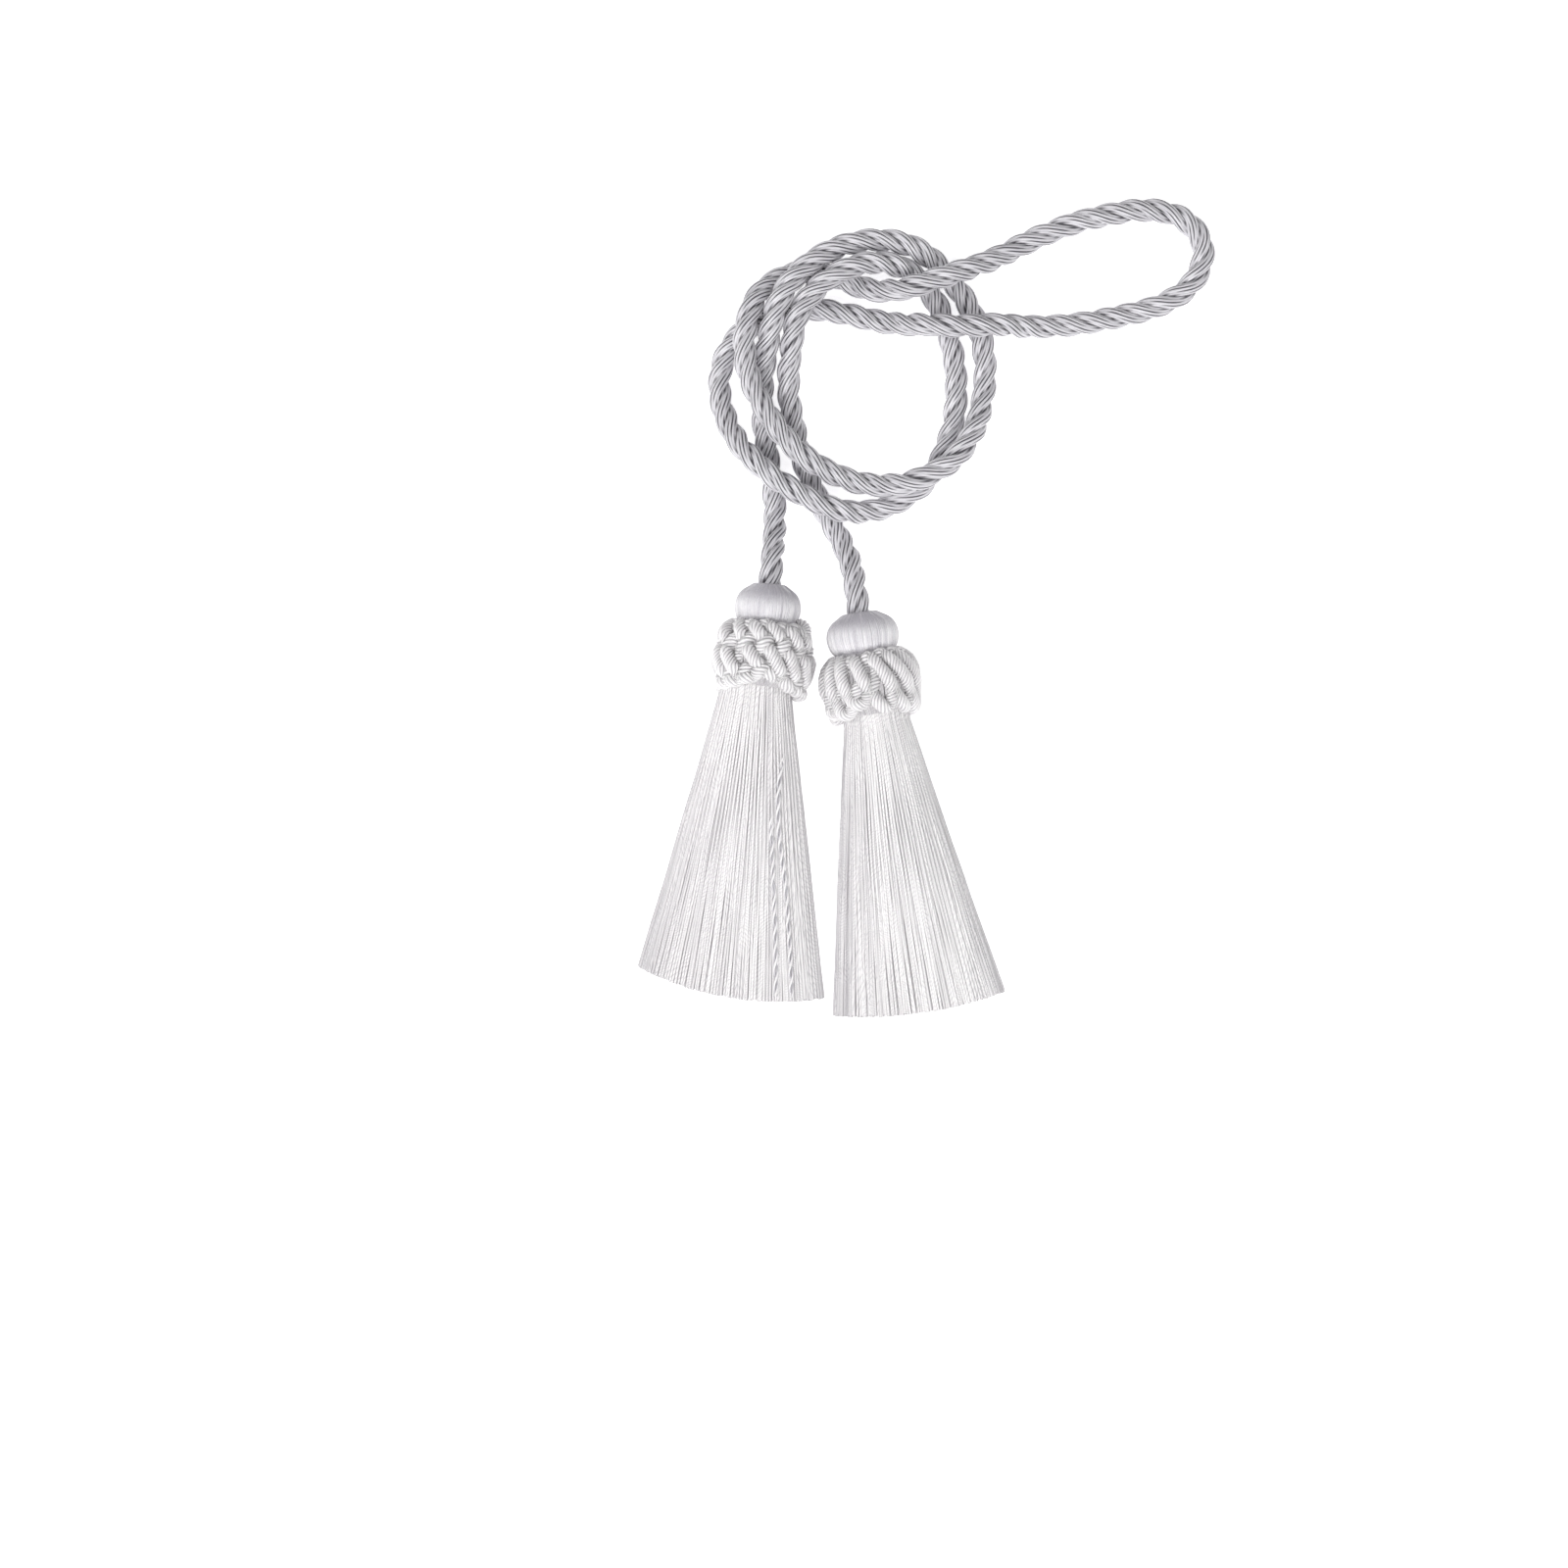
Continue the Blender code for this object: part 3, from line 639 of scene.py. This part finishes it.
def cut_fringe_tree():
    """Layers of cut yarns that fan out from the neck and lie down on the surface."""
    tree, given = new_tree(
        "Cut fringe",
        Float=(
            "Yarn Radius", "Start", "Neck", "Length", "Neck Half Width", "Hem Half Width",
            "Rise", "Peak", "Drift", "Parting", "Parting Depth", "Trim", "Waver", "Sink",
        ),
        Int=("Layers", "Yarns per Layer", "Seed"),
        Material=("Material",),
    )
    add = partial(add_node, tree)
    path = add("GeometryNodeMeshToCurve", (given["Geometry"],))
    count = add(MATH, (given["Layers"], given["Yarns per Layer"]), "MULTIPLY")
    copies = {"Geometry": path, "Amount": count}
    yarns = add("GeometryNodeDuplicateElements", copies, domain="SPLINE")
    yarn = yarns.outputs["Duplicate Index"]
    share = add("GeometryNodeSplineParameter").outputs["Factor"]
    chances = []
    for number in range(8):
        seed = add(MATH, (given["Seed"], float(number)), "ADD")
        inputs = {"Min": -1.0, "Max": 1.0, "ID": yarn, "Seed": seed}
        chances.append(add("FunctionNodeRandomValue", inputs, data_type="FLOAT").outputs[1])
    aside, deep, longer, sunk, wave_start, stray, wave_rate, shade = chances

    # Where the yarn is across the skirt, from -1 to 1, and in its depth, from 1 down to -1. The
    # upper layers lie close under each other, and every other one is half a yarn aside.
    ordinal = add(MATH, (yarn, 0.5), "ADD")
    row = add(MATH, (ordinal, given["Yarns per Layer"]), "DIVIDE")
    layer = add(MATH, (row,), "FLOOR")
    column = add(MATH, (row,), "FRACT")
    every_other = add(MATH, (layer, 2.0), "MODULO")
    stagger = add(MATH, (every_other, 0.5, -0.25), "MULTIPLY_ADD")
    shift = add(MATH, (aside, ASIDE_VARIES, stagger), "MULTIPLY_ADD")
    moved = add(MATH, (shift, given["Yarns per Layer"]), "DIVIDE")
    place = add(MATH, (column, moved), "ADD")
    across = add(MAP_RANGE, (place, 0.0, 1.0, -1.0, 1.0))
    last_layer = add(MATH, (given["Layers"], 1.0), "SUBTRACT")
    loose_layer = add(MATH, (deep, DEPTH_VARIES, layer), "MULTIPLY_ADD")
    under = add(MAP_RANGE, (loose_layer, 0.0, last_layer))
    deeper = add(MATH, (under, 2.0), "POWER")
    depth = add(MATH, (deeper, -2.0, 1.0), "MULTIPLY_ADD")

    # How far down it goes, and how far the skirt has spread there.
    off_peak = add(MATH, (across, given["Peak"]), "SUBTRACT")
    bow = add(MATH, (off_peak, 2.0), "POWER")
    cut_back = add(MATH, (given["Rise"], bow), "MULTIPLY")
    even = add(MATH, (given["Length"], cut_back), "SUBTRACT")
    end = add(MATH, (longer, given["Trim"], even), "MULTIPLY_ADD")
    along = add(MAP_RANGE, (share, 0.0, 1.0, given["Start"], end))
    spread = add(MAP_RANGE, (along, given["Neck"], given["Length"]))
    widths = (given["Neck Half Width"], given["Hem Half Width"])
    half_width = add(MAP_RANGE, (spread, 0.0, 1.0, *widths))

    # A slow wave and a slight stray to one side.
    rate = add(MATH, (wave_rate, WAVES_VARY, WAVES), "MULTIPLY_ADD")
    waves = add(MATH, (share, rate, wave_start), "MULTIPLY_ADD")
    wave = add(MATH, (add(MATH, (waves, TAU), "MULTIPLY"),), "SINE")
    freely = add(MATH, (spread, 2.0), "POWER")
    straying = add(MATH, (stray, freely), "MULTIPLY")
    swaying = add(MATH, (wave, SIDE_WAVE, straying), "MULTIPLY_ADD")
    fanned = add(MATH, (across, half_width, given["Drift"]), "MULTIPLY_ADD")
    sideways = add(MATH, (swaying, given["Waver"], fanned), "MULTIPLY_ADD")

    # Its height between the skirt's underside, widest line and crown.
    low, wide, top = (
        section_curve(tree, spread, [getattr(line, height) for line in SKIRT_ROWS])
        for height in ("low_mm", "wide_mm", "top_mm")
    )
    squared = add(MATH, (across, across), "MULTIPLY")
    roundness = add(MATH, (add(MATH, (1.0, squared), "SUBTRACT"),), "SQRT")
    above = add(MATH, (depth, 0.0), "MAXIMUM")
    below = add(MATH, (depth, 0.0), "MINIMUM")
    crown = add(MATH, (top, wide), "SUBTRACT")
    belly = add(MATH, (wide, low), "SUBTRACT")
    upper = add(MATH, (above, crown), "MULTIPLY")
    level = add(MATH, (below, belly, upper), "MULTIPLY_ADD")
    height = add(MATH, (level, roundness, wide), "MULTIPLY_ADD")
    gathered = add(MATH, (1.0, spread), "SUBTRACT")
    odd = add(MATH, (yarn, 2.0), "MODULO")
    lower = add(MATH, (odd, EVERY_OTHER_SINKS), "MULTIPLY")
    loosely = add(MATH, (sunk, SINK_VARIES, lower), "MULTIPLY_ADD")
    sinking = add(MATH, (loosely, gathered), "MULTIPLY")
    sink = add(MATH, (sinking, given["Sink"], given["Yarn Radius"]), "MULTIPLY_ADD")
    settled = add(MATH, (height, sink), "SUBTRACT")
    ripples = add(MATH, (share, rate, stray), "MULTIPLY_ADD")
    ripple = add(MATH, (add(MATH, (ripples, TAU), "MULTIPLY"),), "COSINE")
    rising = add(MATH, (given["Waver"], HEIGHT_WAVE), "MULTIPLY")
    rippled = add(MATH, (ripple, rising, settled), "MULTIPLY_ADD")

    # The yarns part along one line, which lies lower and takes painted shade.
    beside = add(MATH, (across, given["Parting"]), "SUBTRACT")
    far = add(MATH, (beside,), "ABSOLUTE")
    notch = add(MAP_RANGE, (far, 0.0, PARTING_REACH, given["Parting Depth"], 0.0))
    opened = add(MAP_RANGE, (spread, *PARTING_OPENS))
    parted = add(MATH, (notch, opened), "MULTIPLY")
    lowered = add(MATH, (rippled, parted), "SUBTRACT")
    laid = add(MATH, (lowered, given["Yarn Radius"]), "MAXIMUM")
    towards_hem = add(MATH, (along, -1.0), "MULTIPLY")
    position = add("ShaderNodeCombineXYZ", (sideways, towards_hem, laid))
    placed = add("GeometryNodeSetPosition", {"Geometry": yarns, "Position": position})
    kept = add(STORE, {"Geometry": placed, "Name": "along", "Value": along})

    # Some neighbouring yarns are greyer together, and those at the hem's corners take painted
    # shade.
    spot = add("ShaderNodeCombineXYZ", (across, spread, given["Drift"]))
    stretched = add(VECTOR_MATH, (spot, GREY_GROUPS_FINE), "MULTIPLY")
    noise = add("ShaderNodeTexNoise", {"Vector": stretched, "Scale": 1.0, "Detail": 1.0})
    groups = add(MAP_RANGE, (noise, *GREY_GROUPS_NOISE, -GREY_GROUPS, GREY_GROUPS))
    grouped = add(MATH, (shade, GREY_OWN, groups), "MULTIPLY_ADD")
    rim = add(MATH, (squared, 2.0), "POWER")
    edge = add(MATH, (rim, spread), "MULTIPLY")
    edged = add(MATH, (edge, PAINTED_EDGE_SHADE, grouped), "MULTIPLY_ADD")
    greyness = add(MATH, (parted, PAINTED_PARTING_SHADE, edged), "MULTIPLY_ADD")
    shaded = add(STORE, {"Geometry": kept, "Name": "shade", "Value": greyness})
    profile = yarn_profile(tree, given["Yarn Radius"], YARN_SIDES, YARN_SHADED_SIDES, depth=0.0)
    finish_tree(tree, sweep(tree, shaded, profile, 0.0), given["Material"])
    return tree


def tree_for(name):
    """The Geometry Nodes tree of this name, made when it is first asked for."""
    makers = {
        "Twisted cord": twisted_cord_tree,
        "Wound threads": wound_threads_tree,
        "Cut fringe": cut_fringe_tree,
    }
    return bpy.data.node_groups.get(name) or makers[name]()


def new_object(name, data):
    """An object with this data, in the scene."""
    made = bpy.data.objects.new(name, data)
    bpy.context.scene.collection.objects.link(made)
    return made


def grown_mesh(tree, path, sizes):
    """The plain mesh that a tree grows on a path of points."""
    guide = bpy.data.meshes.new("guide")
    edges = [(index, index + 1) for index in range(len(path) - 1)]
    guide.from_pydata([tuple(point) for point in path], edges, [])
    holder = new_object("guide", guide)
    modifier = holder.modifiers.new(tree.name, "NODES")
    modifier.node_group = tree
    sockets = {
        item.name: item.identifier
        for item in tree.interface.items_tree
        if item.item_type == "SOCKET" and item.in_out == "INPUT"
    }
    for label, value in sizes.items():
        modifier[sockets[label]] = value
    depsgraph = bpy.context.evaluated_depsgraph_get()
    mesh = bpy.data.meshes.new_from_object(
        holder.evaluated_get(depsgraph), preserve_all_data_layers=True, depsgraph=depsgraph
    )
    bpy.data.objects.remove(holder)
    bpy.data.meshes.remove(guide)
    if len(mesh.polygons) == 0:
        raise RuntimeError(f"the tree {tree.name} made nothing")
    return mesh


def add_piece(name, meshes, node, place=Matrix()):
    """One piece made of these meshes, put in place, that stands for a CAD node."""
    for mesh in meshes:
        mesh.transform(place)
    parts = [new_object(name, mesh) for mesh in meshes]
    piece = parts[0]
    if len(parts) > 1:
        with bpy.context.temp_override(
            active_object=piece, object=piece, selected_editable_objects=parts
        ):
            bpy.ops.object.join()
    piece.name = name
    piece.data.name = name
    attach(piece, "root")
    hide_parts(node)
    return piece


def add_tassel_piece(tassel, made, part, meshes):
    """The head, ruff or skirt of this tassel, named for how it is made."""
    node = f"{tassel.name}_{part}"
    add_piece(f"{made}_{node}", meshes, node, tassel_place(tassel))


def linear(hex_colour):
    """A linear colour from sRGB hex digits."""
    values = [int(hex_colour[index : index + 2], 16) / 255.0 for index in (1, 3, 5)]
    return (
        *(v / 12.92 if v <= 0.04045 else ((v + 0.055) / 1.055) ** 2.4 for v in values),
        1.0,
    )


def yarn_material(name, light, dark):
    """Filament yarn with the finish of this name: satin, with streaks along its fibres."""
    finish = FINISHES[name]
    material = bpy.data.materials.get(name) or bpy.data.materials.new(name)
    material.use_nodes = True
    tree = material.node_tree
    tree.nodes.clear()
    add = partial(add_node, tree)
    around = add("ShaderNodeAttribute", attribute_name="around").outputs["Vector"]
    along = add("ShaderNodeAttribute", attribute_name="along").outputs["Fac"]
    shade = add("ShaderNodeAttribute", attribute_name="shade").outputs["Fac"]

    # Streaks that run with the fibres, and painted shade in the groove between the two plies of a
    # thin yarn.
    phase = add(MATH, (shade, finish.apart), "MULTIPLY")
    turn = add(MATH, (along, -TAU / (finish.twist_mm * MM), phase), "MULTIPLY_ADD")
    inputs = {"Vector": around, "Angle": turn}
    unwound = add("ShaderNodeVectorRotate", inputs, rotation_type="Z_AXIS")
    flat = add("ShaderNodeSeparateXYZ", (unwound,)).outputs
    stretched = add(MATH, (along, STREAK_STRETCH / (finish.strand_mm * MM)), "MULTIPLY")
    fibre_place = add("ShaderNodeCombineXYZ", (flat[0], flat[1], stretched))
    inputs = {"Vector": fibre_place, "Scale": STREAK_SCALE, "Detail": 3.0, "Roughness": 0.65}
    fibres = add("ShaderNodeTexNoise", inputs)
    streaks = add(MAP_RANGE, (fibres, *STREAK_NOISE, 0.0, finish.streaks))
    # A yarn's own tone, which on a skirt also holds the painted shade of its edges and parting.
    own = add(MAP_RANGE, (shade, *GREY_SPAN, 0.0, 2.0 * finish.streaks))
    side = add(MATH, (flat[0],), "ABSOLUTE")
    stripe = add(MAP_RANGE, (side, 0.0, STRIPE_EDGE, finish.stripe, 0.0))

    # Painted shade: the grooves between the yarns are darker, most on a ply's crest, and the
    # plies meet in valleys darkened with painted shade.
    ridge = add("ShaderNodeSeparateXYZ", (around,)).outputs[2]
    groove = add(MAP_RANGE, (ridge, -1.0, GROOVE_EDGE, finish.grooves, 0.0))
    darkness = groove
    if finish.valleys:
        crest = add("ShaderNodeAttribute", attribute_name="crest").outputs["Fac"]
        crest_groove_share = add(MAP_RANGE, (crest, *CREST_EDGE, *CREST_GROOVES))
        painted_valley = add(MAP_RANGE, (crest, *VALLEY_EDGE, finish.valleys, 0.0))
        darkness = add(MATH, (groove, crest_groove_share, painted_valley), "MULTIPLY_ADD")
    shades = [streaks, own, stripe]
    # Painted shade: the crown of a wound head is greyer, up to a ragged line on each thread.
    if finish.crown:
        reach = add(MATH, (shade, CROWN_SHADE_RAGGED, along), "MULTIPLY_ADD")
        span = (CROWN_SHADE_END - CROWN_SHADE_FADES, CROWN_SHADE_END)
        shades.append(add(MAP_RANGE, (reach, *span, finish.crown, 0.0)))
    for more in shades:
        darkness = add(MATH, (darkness, more), "ADD", use_clamp=True)
    inputs = {"Factor": darkness, 6: linear(light), 7: linear(dark)}  # its two colour inputs
    colour = add("ShaderNodeMix", inputs, data_type="RGBA")
    inputs = {"Height": darkness, "Strength": 0.6, "Distance": finish.relief_mm * MM}
    bump = add("ShaderNodeBump", inputs, invert=True)
    lay = add("ShaderNodeAttribute", attribute_name="lay")

    inputs = {
        "Base Color": colour.outputs[2],
        "Roughness": finish.roughness,
        "IOR": RAYON_IOR,
        "Specular IOR Level": 0.9,
        "Anisotropic": 0.8,
        "Anisotropic Rotation": 0.25,  # a gleam lies across the fibres
        "Subsurface Weight": 0.5 if finish.depth_mm else 0.0,
        "Subsurface Radius": (1.0, 1.0, 1.0),
        "Subsurface Scale": finish.depth_mm * MM,
        "Sheen Weight": 0.1,
        "Sheen Roughness": 0.4,
        "Normal": bump,
        "Tangent": lay.outputs["Vector"],
    }
    add("ShaderNodeOutputMaterial", (add("ShaderNodeBsdfPrincipled", inputs),))
    return material


def paper_material(stage):
    """Photographer's white paper: matt, and bright enough to leave only faint shadows."""
    material = bpy.data.materials.new("matt_white_paper")
    material.use_nodes = True
    shader = material.node_tree.nodes["Principled BSDF"].inputs
    shader["Base Color"].default_value = linear(stage.floor_colour)
    shader["Roughness"].default_value = 0.9
    shader["Specular IOR Level"].default_value = 0.1
    shader["Emission Color"].default_value = (1.0, 1.0, 1.0, 1.0)
    shader["Emission Strength"].default_value = 0.6
    return material


# ---- Properties ----


Length = partial(FloatProperty, unit="LENGTH")
Colour = partial(StringProperty, description="Hex colour")


class CordProperties(bpy.types.PropertyGroup):
    diameter: Length(name="Diameter", description="Thickness over the plies", default=8.0 * MM)
    pitch: Length(name="Pitch", description="Length of one turn of a ply", default=24.5 * MM)
    plies: IntProperty(name="Plies", description="Plies twisted together", default=3, min=2)
    yarns: IntProperty(
        name="Yarns", description="Yarns that show round each ply", default=10, min=3
    )
    light: Colour(name="Light", default="#FCFAFF")
    dark: Colour(name="Dark", default="#423F48")


class TasselProperties(bpy.types.PropertyGroup):
    threads: IntProperty(
        name="Threads", description="Threads wound over each head", default=120, min=12
    )
    loops: IntProperty(
        name="Loops", description="Loops of cord that show in each ruff", default=13, min=6
    )
    ruff_cord: Length(name="Ruff cord", description="Its thickness", default=4.3 * MM)
    layers: IntProperty(
        name="Layers", description="Layers of yarn in each skirt", default=6, min=2
    )
    yarns: IntProperty(
        name="Yarns", description="Yarns in each layer of a skirt", default=66, min=10
    )
    yarn: Length(name="Yarn", description="Thickness of a skirt's yarn", default=1.05 * MM)
    head_light: Colour(name="Head", default="#FFFEFF")
    head_dark: Colour(name="Head, dark", default="#B4B0BA")
    ruff_light: Colour(name="Ruff", default="#F7F5F6")
    ruff_dark: Colour(name="Ruff, dark", default="#BEBBBF")
    skirt_light: Colour(name="Skirt", default="#FEFCFC")
    skirt_dark: Colour(name="Skirt, dark", default="#B9B6BA")
    pair_dark: Colour(name="Pair, dark", default="#C0BEC3")


class StageProperties(bpy.types.PropertyGroup):
    lens: FloatProperty(
        name="Lens", description="Focal length", default=85.0, subtype="DISTANCE_CAMERA"
    )
    seen_width: Length(
        name="Seen width",
        description="Width of the surface in view",
        default=PHOTO_WIDTH / PIXELS_PER_MM * MM,
    )
    floor_colour: Colour(name="Floor", default="#FCFCFC")


class TiebackProperties(bpy.types.PropertyGroup):
    cord: PointerProperty(type=CordProperties)
    tassels: PointerProperty(type=TasselProperties)
    stage: PointerProperty(type=StageProperties)


# ---- Operators ----


class TIEBACK_OT_set_stage(bpy.types.Operator):
    """Set the camera above the tieback, with a pale floor and soft studio light"""

    bl_idname = "tieback.set_stage"
    bl_label = "Set Stage"

    def execute(self, context):
        stage = context.scene.tieback.stage
        make_camera(context.scene, stage)
        make_floor(stage)
        make_lights(context.scene)
        return {"FINISHED"}


class TIEBACK_OT_twist_cord(bpy.types.Operator):
    """Twist the plies of the cord along its route"""

    bl_idname = "tieback.twist_cord"
    bl_label = "Twist Cord"

    def execute(self, context):
        cord = context.scene.tieback.cord
        path = cord_path()
        offset = PLY_OFFSET * cord.diameter
        mesh = grown_mesh(
            tree_for("Twisted cord"),
            path,
            {
                "Ring Step": 1.1 * MM,
                "Plies": cord.plies,
                "Ply Offset": offset,
                "Ply Radius": cord.diameter / 2.0 - offset,
                "Pitch": cord.pitch,
                "Slackness": 0.12,
                "Sides": cord.yarns * SIDES_PER_YARN,
                "Yarns": cord.yarns,
                "Yarn Depth": 0.09,
                "Yarn Turns": 6.0,
                "Fibre Angle": math.radians(-15.0),
                "Seed": 1.0,
                "Material": yarn_material("twisted_silver_rayon", cord.light, cord.dark),
            },
        )
        piece = add_piece("twisted_cord", [mesh], "cord")
        return {"FINISHED"}


class TIEBACK_OT_wind_heads(bpy.types.Operator):
    """Wind threads over the head of each tassel"""

    bl_idname = "tieback.wind_heads"
    bl_label = "Wind Heads"

    def execute(self, context):
        tassels = context.scene.tieback.tassels
        tree = tree_for("Wound threads")
        sizes = {
            "Threads": tassels.threads,
            "Thread Radius": 0.45 * MM,
            "Slack": 0.22,
            "Unevenness": 0.07 * MM,
            "Material": yarn_material(
                "wound_white_rayon", tassels.head_light, tassels.head_dark
            ),
        }
        for number, tassel in enumerate(TASSELS):
            path = turned_path(HEAD_ROWS, tassel.head * MM, PATH_STEP)
            mesh = grown_mesh(tree, path, sizes | {"Seed": SEEDS_APART * number})
            add_tassel_piece(tassel, "wound", "head", [mesh])
        return {"FINISHED"}


class TIEBACK_OT_knot_ruffs(bpy.types.Operator):
    """Lay the loops of thin cord round the neck of each tassel"""

    bl_idname = "tieback.knot_ruffs"
    bl_label = "Knot Ruffs"

    def execute(self, context):
        tassels = context.scene.tieback.tassels
        cord_tree = tree_for("Twisted cord")
        thread_tree = tree_for("Wound threads")
        cord_sizes = {
            "Ring Step": 0.36 * MM,
            "Plies": 1,
            "Ply Offset": 0.0,
            "Ply Radius": tassels.ruff_cord / 2.0,
            "Pitch": 1.0,
            "Slackness": 0.0,
            "Sides": RUFF_WRAPS * SIDES_PER_WRAP,
            "Yarns": RUFF_WRAPS,
            "Yarn Depth": 0.13,
            "Yarn Turns": 1.0 / RUFF_WRAP_PITCH,
            "Fibre Angle": math.radians(-60.0),
            "Material": yarn_material(
                "wrapped_white_rayon", tassels.ruff_light, tassels.ruff_dark
            ),
        }
        thread_sizes = {
            "Threads": 112,
            "Thread Radius": 0.5 * MM,
            "Slack": 0.5,
            "Unevenness": 0.1 * MM,
            "Material": yarn_material(
                "cut_white_rayon", tassels.skirt_light, tassels.skirt_dark
            ),
        }
        for tassel in TASSELS:
            lay = RUFF_LAYS[tassel.name]
            sizes = cord_sizes | {"Seed": float(lay.seed)}
            meshes = [grown_mesh(cord_tree, ruff_path(lay, tassels.loops), sizes)]
            if lay.tail:
                meshes.append(grown_mesh(cord_tree, laid_path(RUFF_TAIL), sizes))
            path = turned_path(CORE_ROWS, MM, 2.0 * PATH_STEP)
            meshes.append(grown_mesh(thread_tree, path, thread_sizes | {"Seed": lay.seed}))
            add_tassel_piece(tassel, "knotted", "ruff", meshes)
        return {"FINISHED"}


class TIEBACK_OT_cut_skirts(bpy.types.Operator):
    """Fan out the cut yarns of each tassel"""

    bl_idname = "tieback.cut_skirts"
    bl_label = "Cut Skirts"

    def execute(self, context):
        tassels = context.scene.tieback.tassels
        tree = tree_for("Cut fringe")
        material = yarn_material("cut_white_rayon", tassels.skirt_light, tassels.skirt_dark)
        line = [(0.0, -step / YARN_STEPS, 0.0) for step in range(YARN_STEPS + 1)]
        for number, tassel in enumerate(TASSELS):
            sizes = {
                "Layers": tassels.layers,
                "Yarns per Layer": tassels.yarns,
                "Yarn Radius": tassels.yarn / 2.0,
                "Start": SKIRT_START,
                "Neck": SKIRT_NECK,
                "Length": tassel.length * MM,
                "Neck Half Width": tassel.neck * MM - tassels.yarn / 2.0,
                "Hem Half Width": tassel.hem * MM - tassels.yarn / 2.0,
                "Rise": tassel.rise * MM,
                "Peak": tassel.peak,
                "Drift": tassel.drift * MM,
                "Parting": tassel.parting,
                "Parting Depth": tassel.parted * MM,
                "Trim": 0.5 * MM,
                "Waver": 0.22 * MM,
                "Sink": 1.0 * MM,
                "Seed": SKIRT_SEED + SEEDS_APART * number,
                "Material": material,
            }
            meshes = [grown_mesh(tree, line, sizes)]
            if tassel.name == "left":
                meshes += [self.slack_pair(tassel, tassels, pair) for pair in PAIRS]
            add_tassel_piece(tassel, "cut", "skirt", meshes)
        return {"FINISHED"}

    def slack_pair(self, tassel, tassels, pair):
        """Two yarns loosely twisted together, which lie on top of the others."""
        sizes = {
            "Ring Step": 0.5 * MM,
            "Plies": 2,
            "Ply Offset": PAIR_OFFSET * tassels.yarn,
            "Ply Radius": PAIR_RADIUS * tassels.yarn,
            "Pitch": 11.0 * MM,
            "Slackness": 0.5,
            "Sides": 8,
            "Yarns": 0,
            "Yarn Depth": 0.0,
            "Yarn Turns": 0.0,
            "Fibre Angle": 0.0,
            "Seed": pair[0].aside_mm,
            "Material": yarn_material(
                "crossed_white_rayon", tassels.skirt_light, tassels.pair_dark
            ),
        }
        return grown_mesh(tree_for("Twisted cord"), pair_path(tassel, pair), sizes)


# ---- Stage ----


def make_camera(scene, stage):
    """Straight above the surface, with the photo's framing."""
    camera = bpy.data.cameras.new("camera")
    camera.sensor_width = SENSOR_WIDTH
    camera.lens = stage.lens
    distance = stage.seen_width * stage.lens / SENSOR_WIDTH
    scene.camera = new_object("camera", camera)
    scene.camera.location = SEEN_CENTRE + Vector((0.0, 0.0, distance))


def make_floor(stage):
    """A wide matt white surface."""
    corners = [(x * FLOOR_REACH, y * FLOOR_REACH, 0.0) for x, y in FLOOR_CORNERS]
    mesh = bpy.data.meshes.new("floor")
    mesh.from_pydata(corners, [], [(0, 1, 2, 3)])
    mesh.materials.append(paper_material(stage))
    new_object("floor", mesh)


def make_lights(scene):
    """Soft lamps around and a white world."""
    for lamp in LAMPS:
        light = bpy.data.lights.new(lamp.name, "AREA")
        light.shape = "DISK"
        light.size = lamp.size
        light.energy = lamp.watts
        holder = new_object(lamp.name, light)
        holder.location = lamp.place
        holder.rotation_mode = "QUATERNION"
        aim = LIT_PLACE - Vector(lamp.place)
        holder.rotation_quaternion = aim.to_track_quat("-Z", "Y")
    world = bpy.data.worlds.new("studio")
    world.use_nodes = True
    background = world.node_tree.nodes["Background"]
    background.inputs["Color"].default_value = (1.0, 1.0, 1.0, 1.0)
    background.inputs["Strength"].default_value = WORLD_STRENGTH
    scene.world = world
    scene.view_settings.view_transform = "Standard"


# ---- Panel and registration ----


class TIEBACK_PT_panel(bpy.types.Panel):
    bl_idname = "TIEBACK_PT_panel"
    bl_label = "Curtain Tieback"
    bl_space_type = "VIEW_3D"
    bl_region_type = "UI"
    bl_category = "Tieback"

    def draw(self, context):
        settings = context.scene.tieback
        for group in (settings.stage, settings.cord, settings.tassels):
            box = self.layout.box()
            for prop in group.bl_rna.properties:
                if prop.identifier not in ("rna_type", "name"):
                    box.prop(group, prop.identifier)
        for operator in OPERATORS:
            self.layout.operator(operator.bl_idname)


OPERATORS = (
    TIEBACK_OT_set_stage,
    TIEBACK_OT_twist_cord,
    TIEBACK_OT_wind_heads,
    TIEBACK_OT_knot_ruffs,
    TIEBACK_OT_cut_skirts,
)
CLASSES = (
    CordProperties,
    TasselProperties,
    StageProperties,
    TiebackProperties,
    *OPERATORS,
    TIEBACK_PT_panel,
)


def register():
    for cls in CLASSES:
        bpy.utils.register_class(cls)
    bpy.types.Scene.tieback = PointerProperty(type=TiebackProperties)


def unregister():
    del bpy.types.Scene.tieback
    for cls in reversed(CLASSES):
        bpy.utils.unregister_class(cls)


def main():
    register()
    bpy.ops.tieback.set_stage()
    bpy.ops.tieback.twist_cord()
    bpy.ops.tieback.wind_heads()
    bpy.ops.tieback.knot_ruffs()
    bpy.ops.tieback.cut_skirts()


if __name__ == "__main__":
    main()
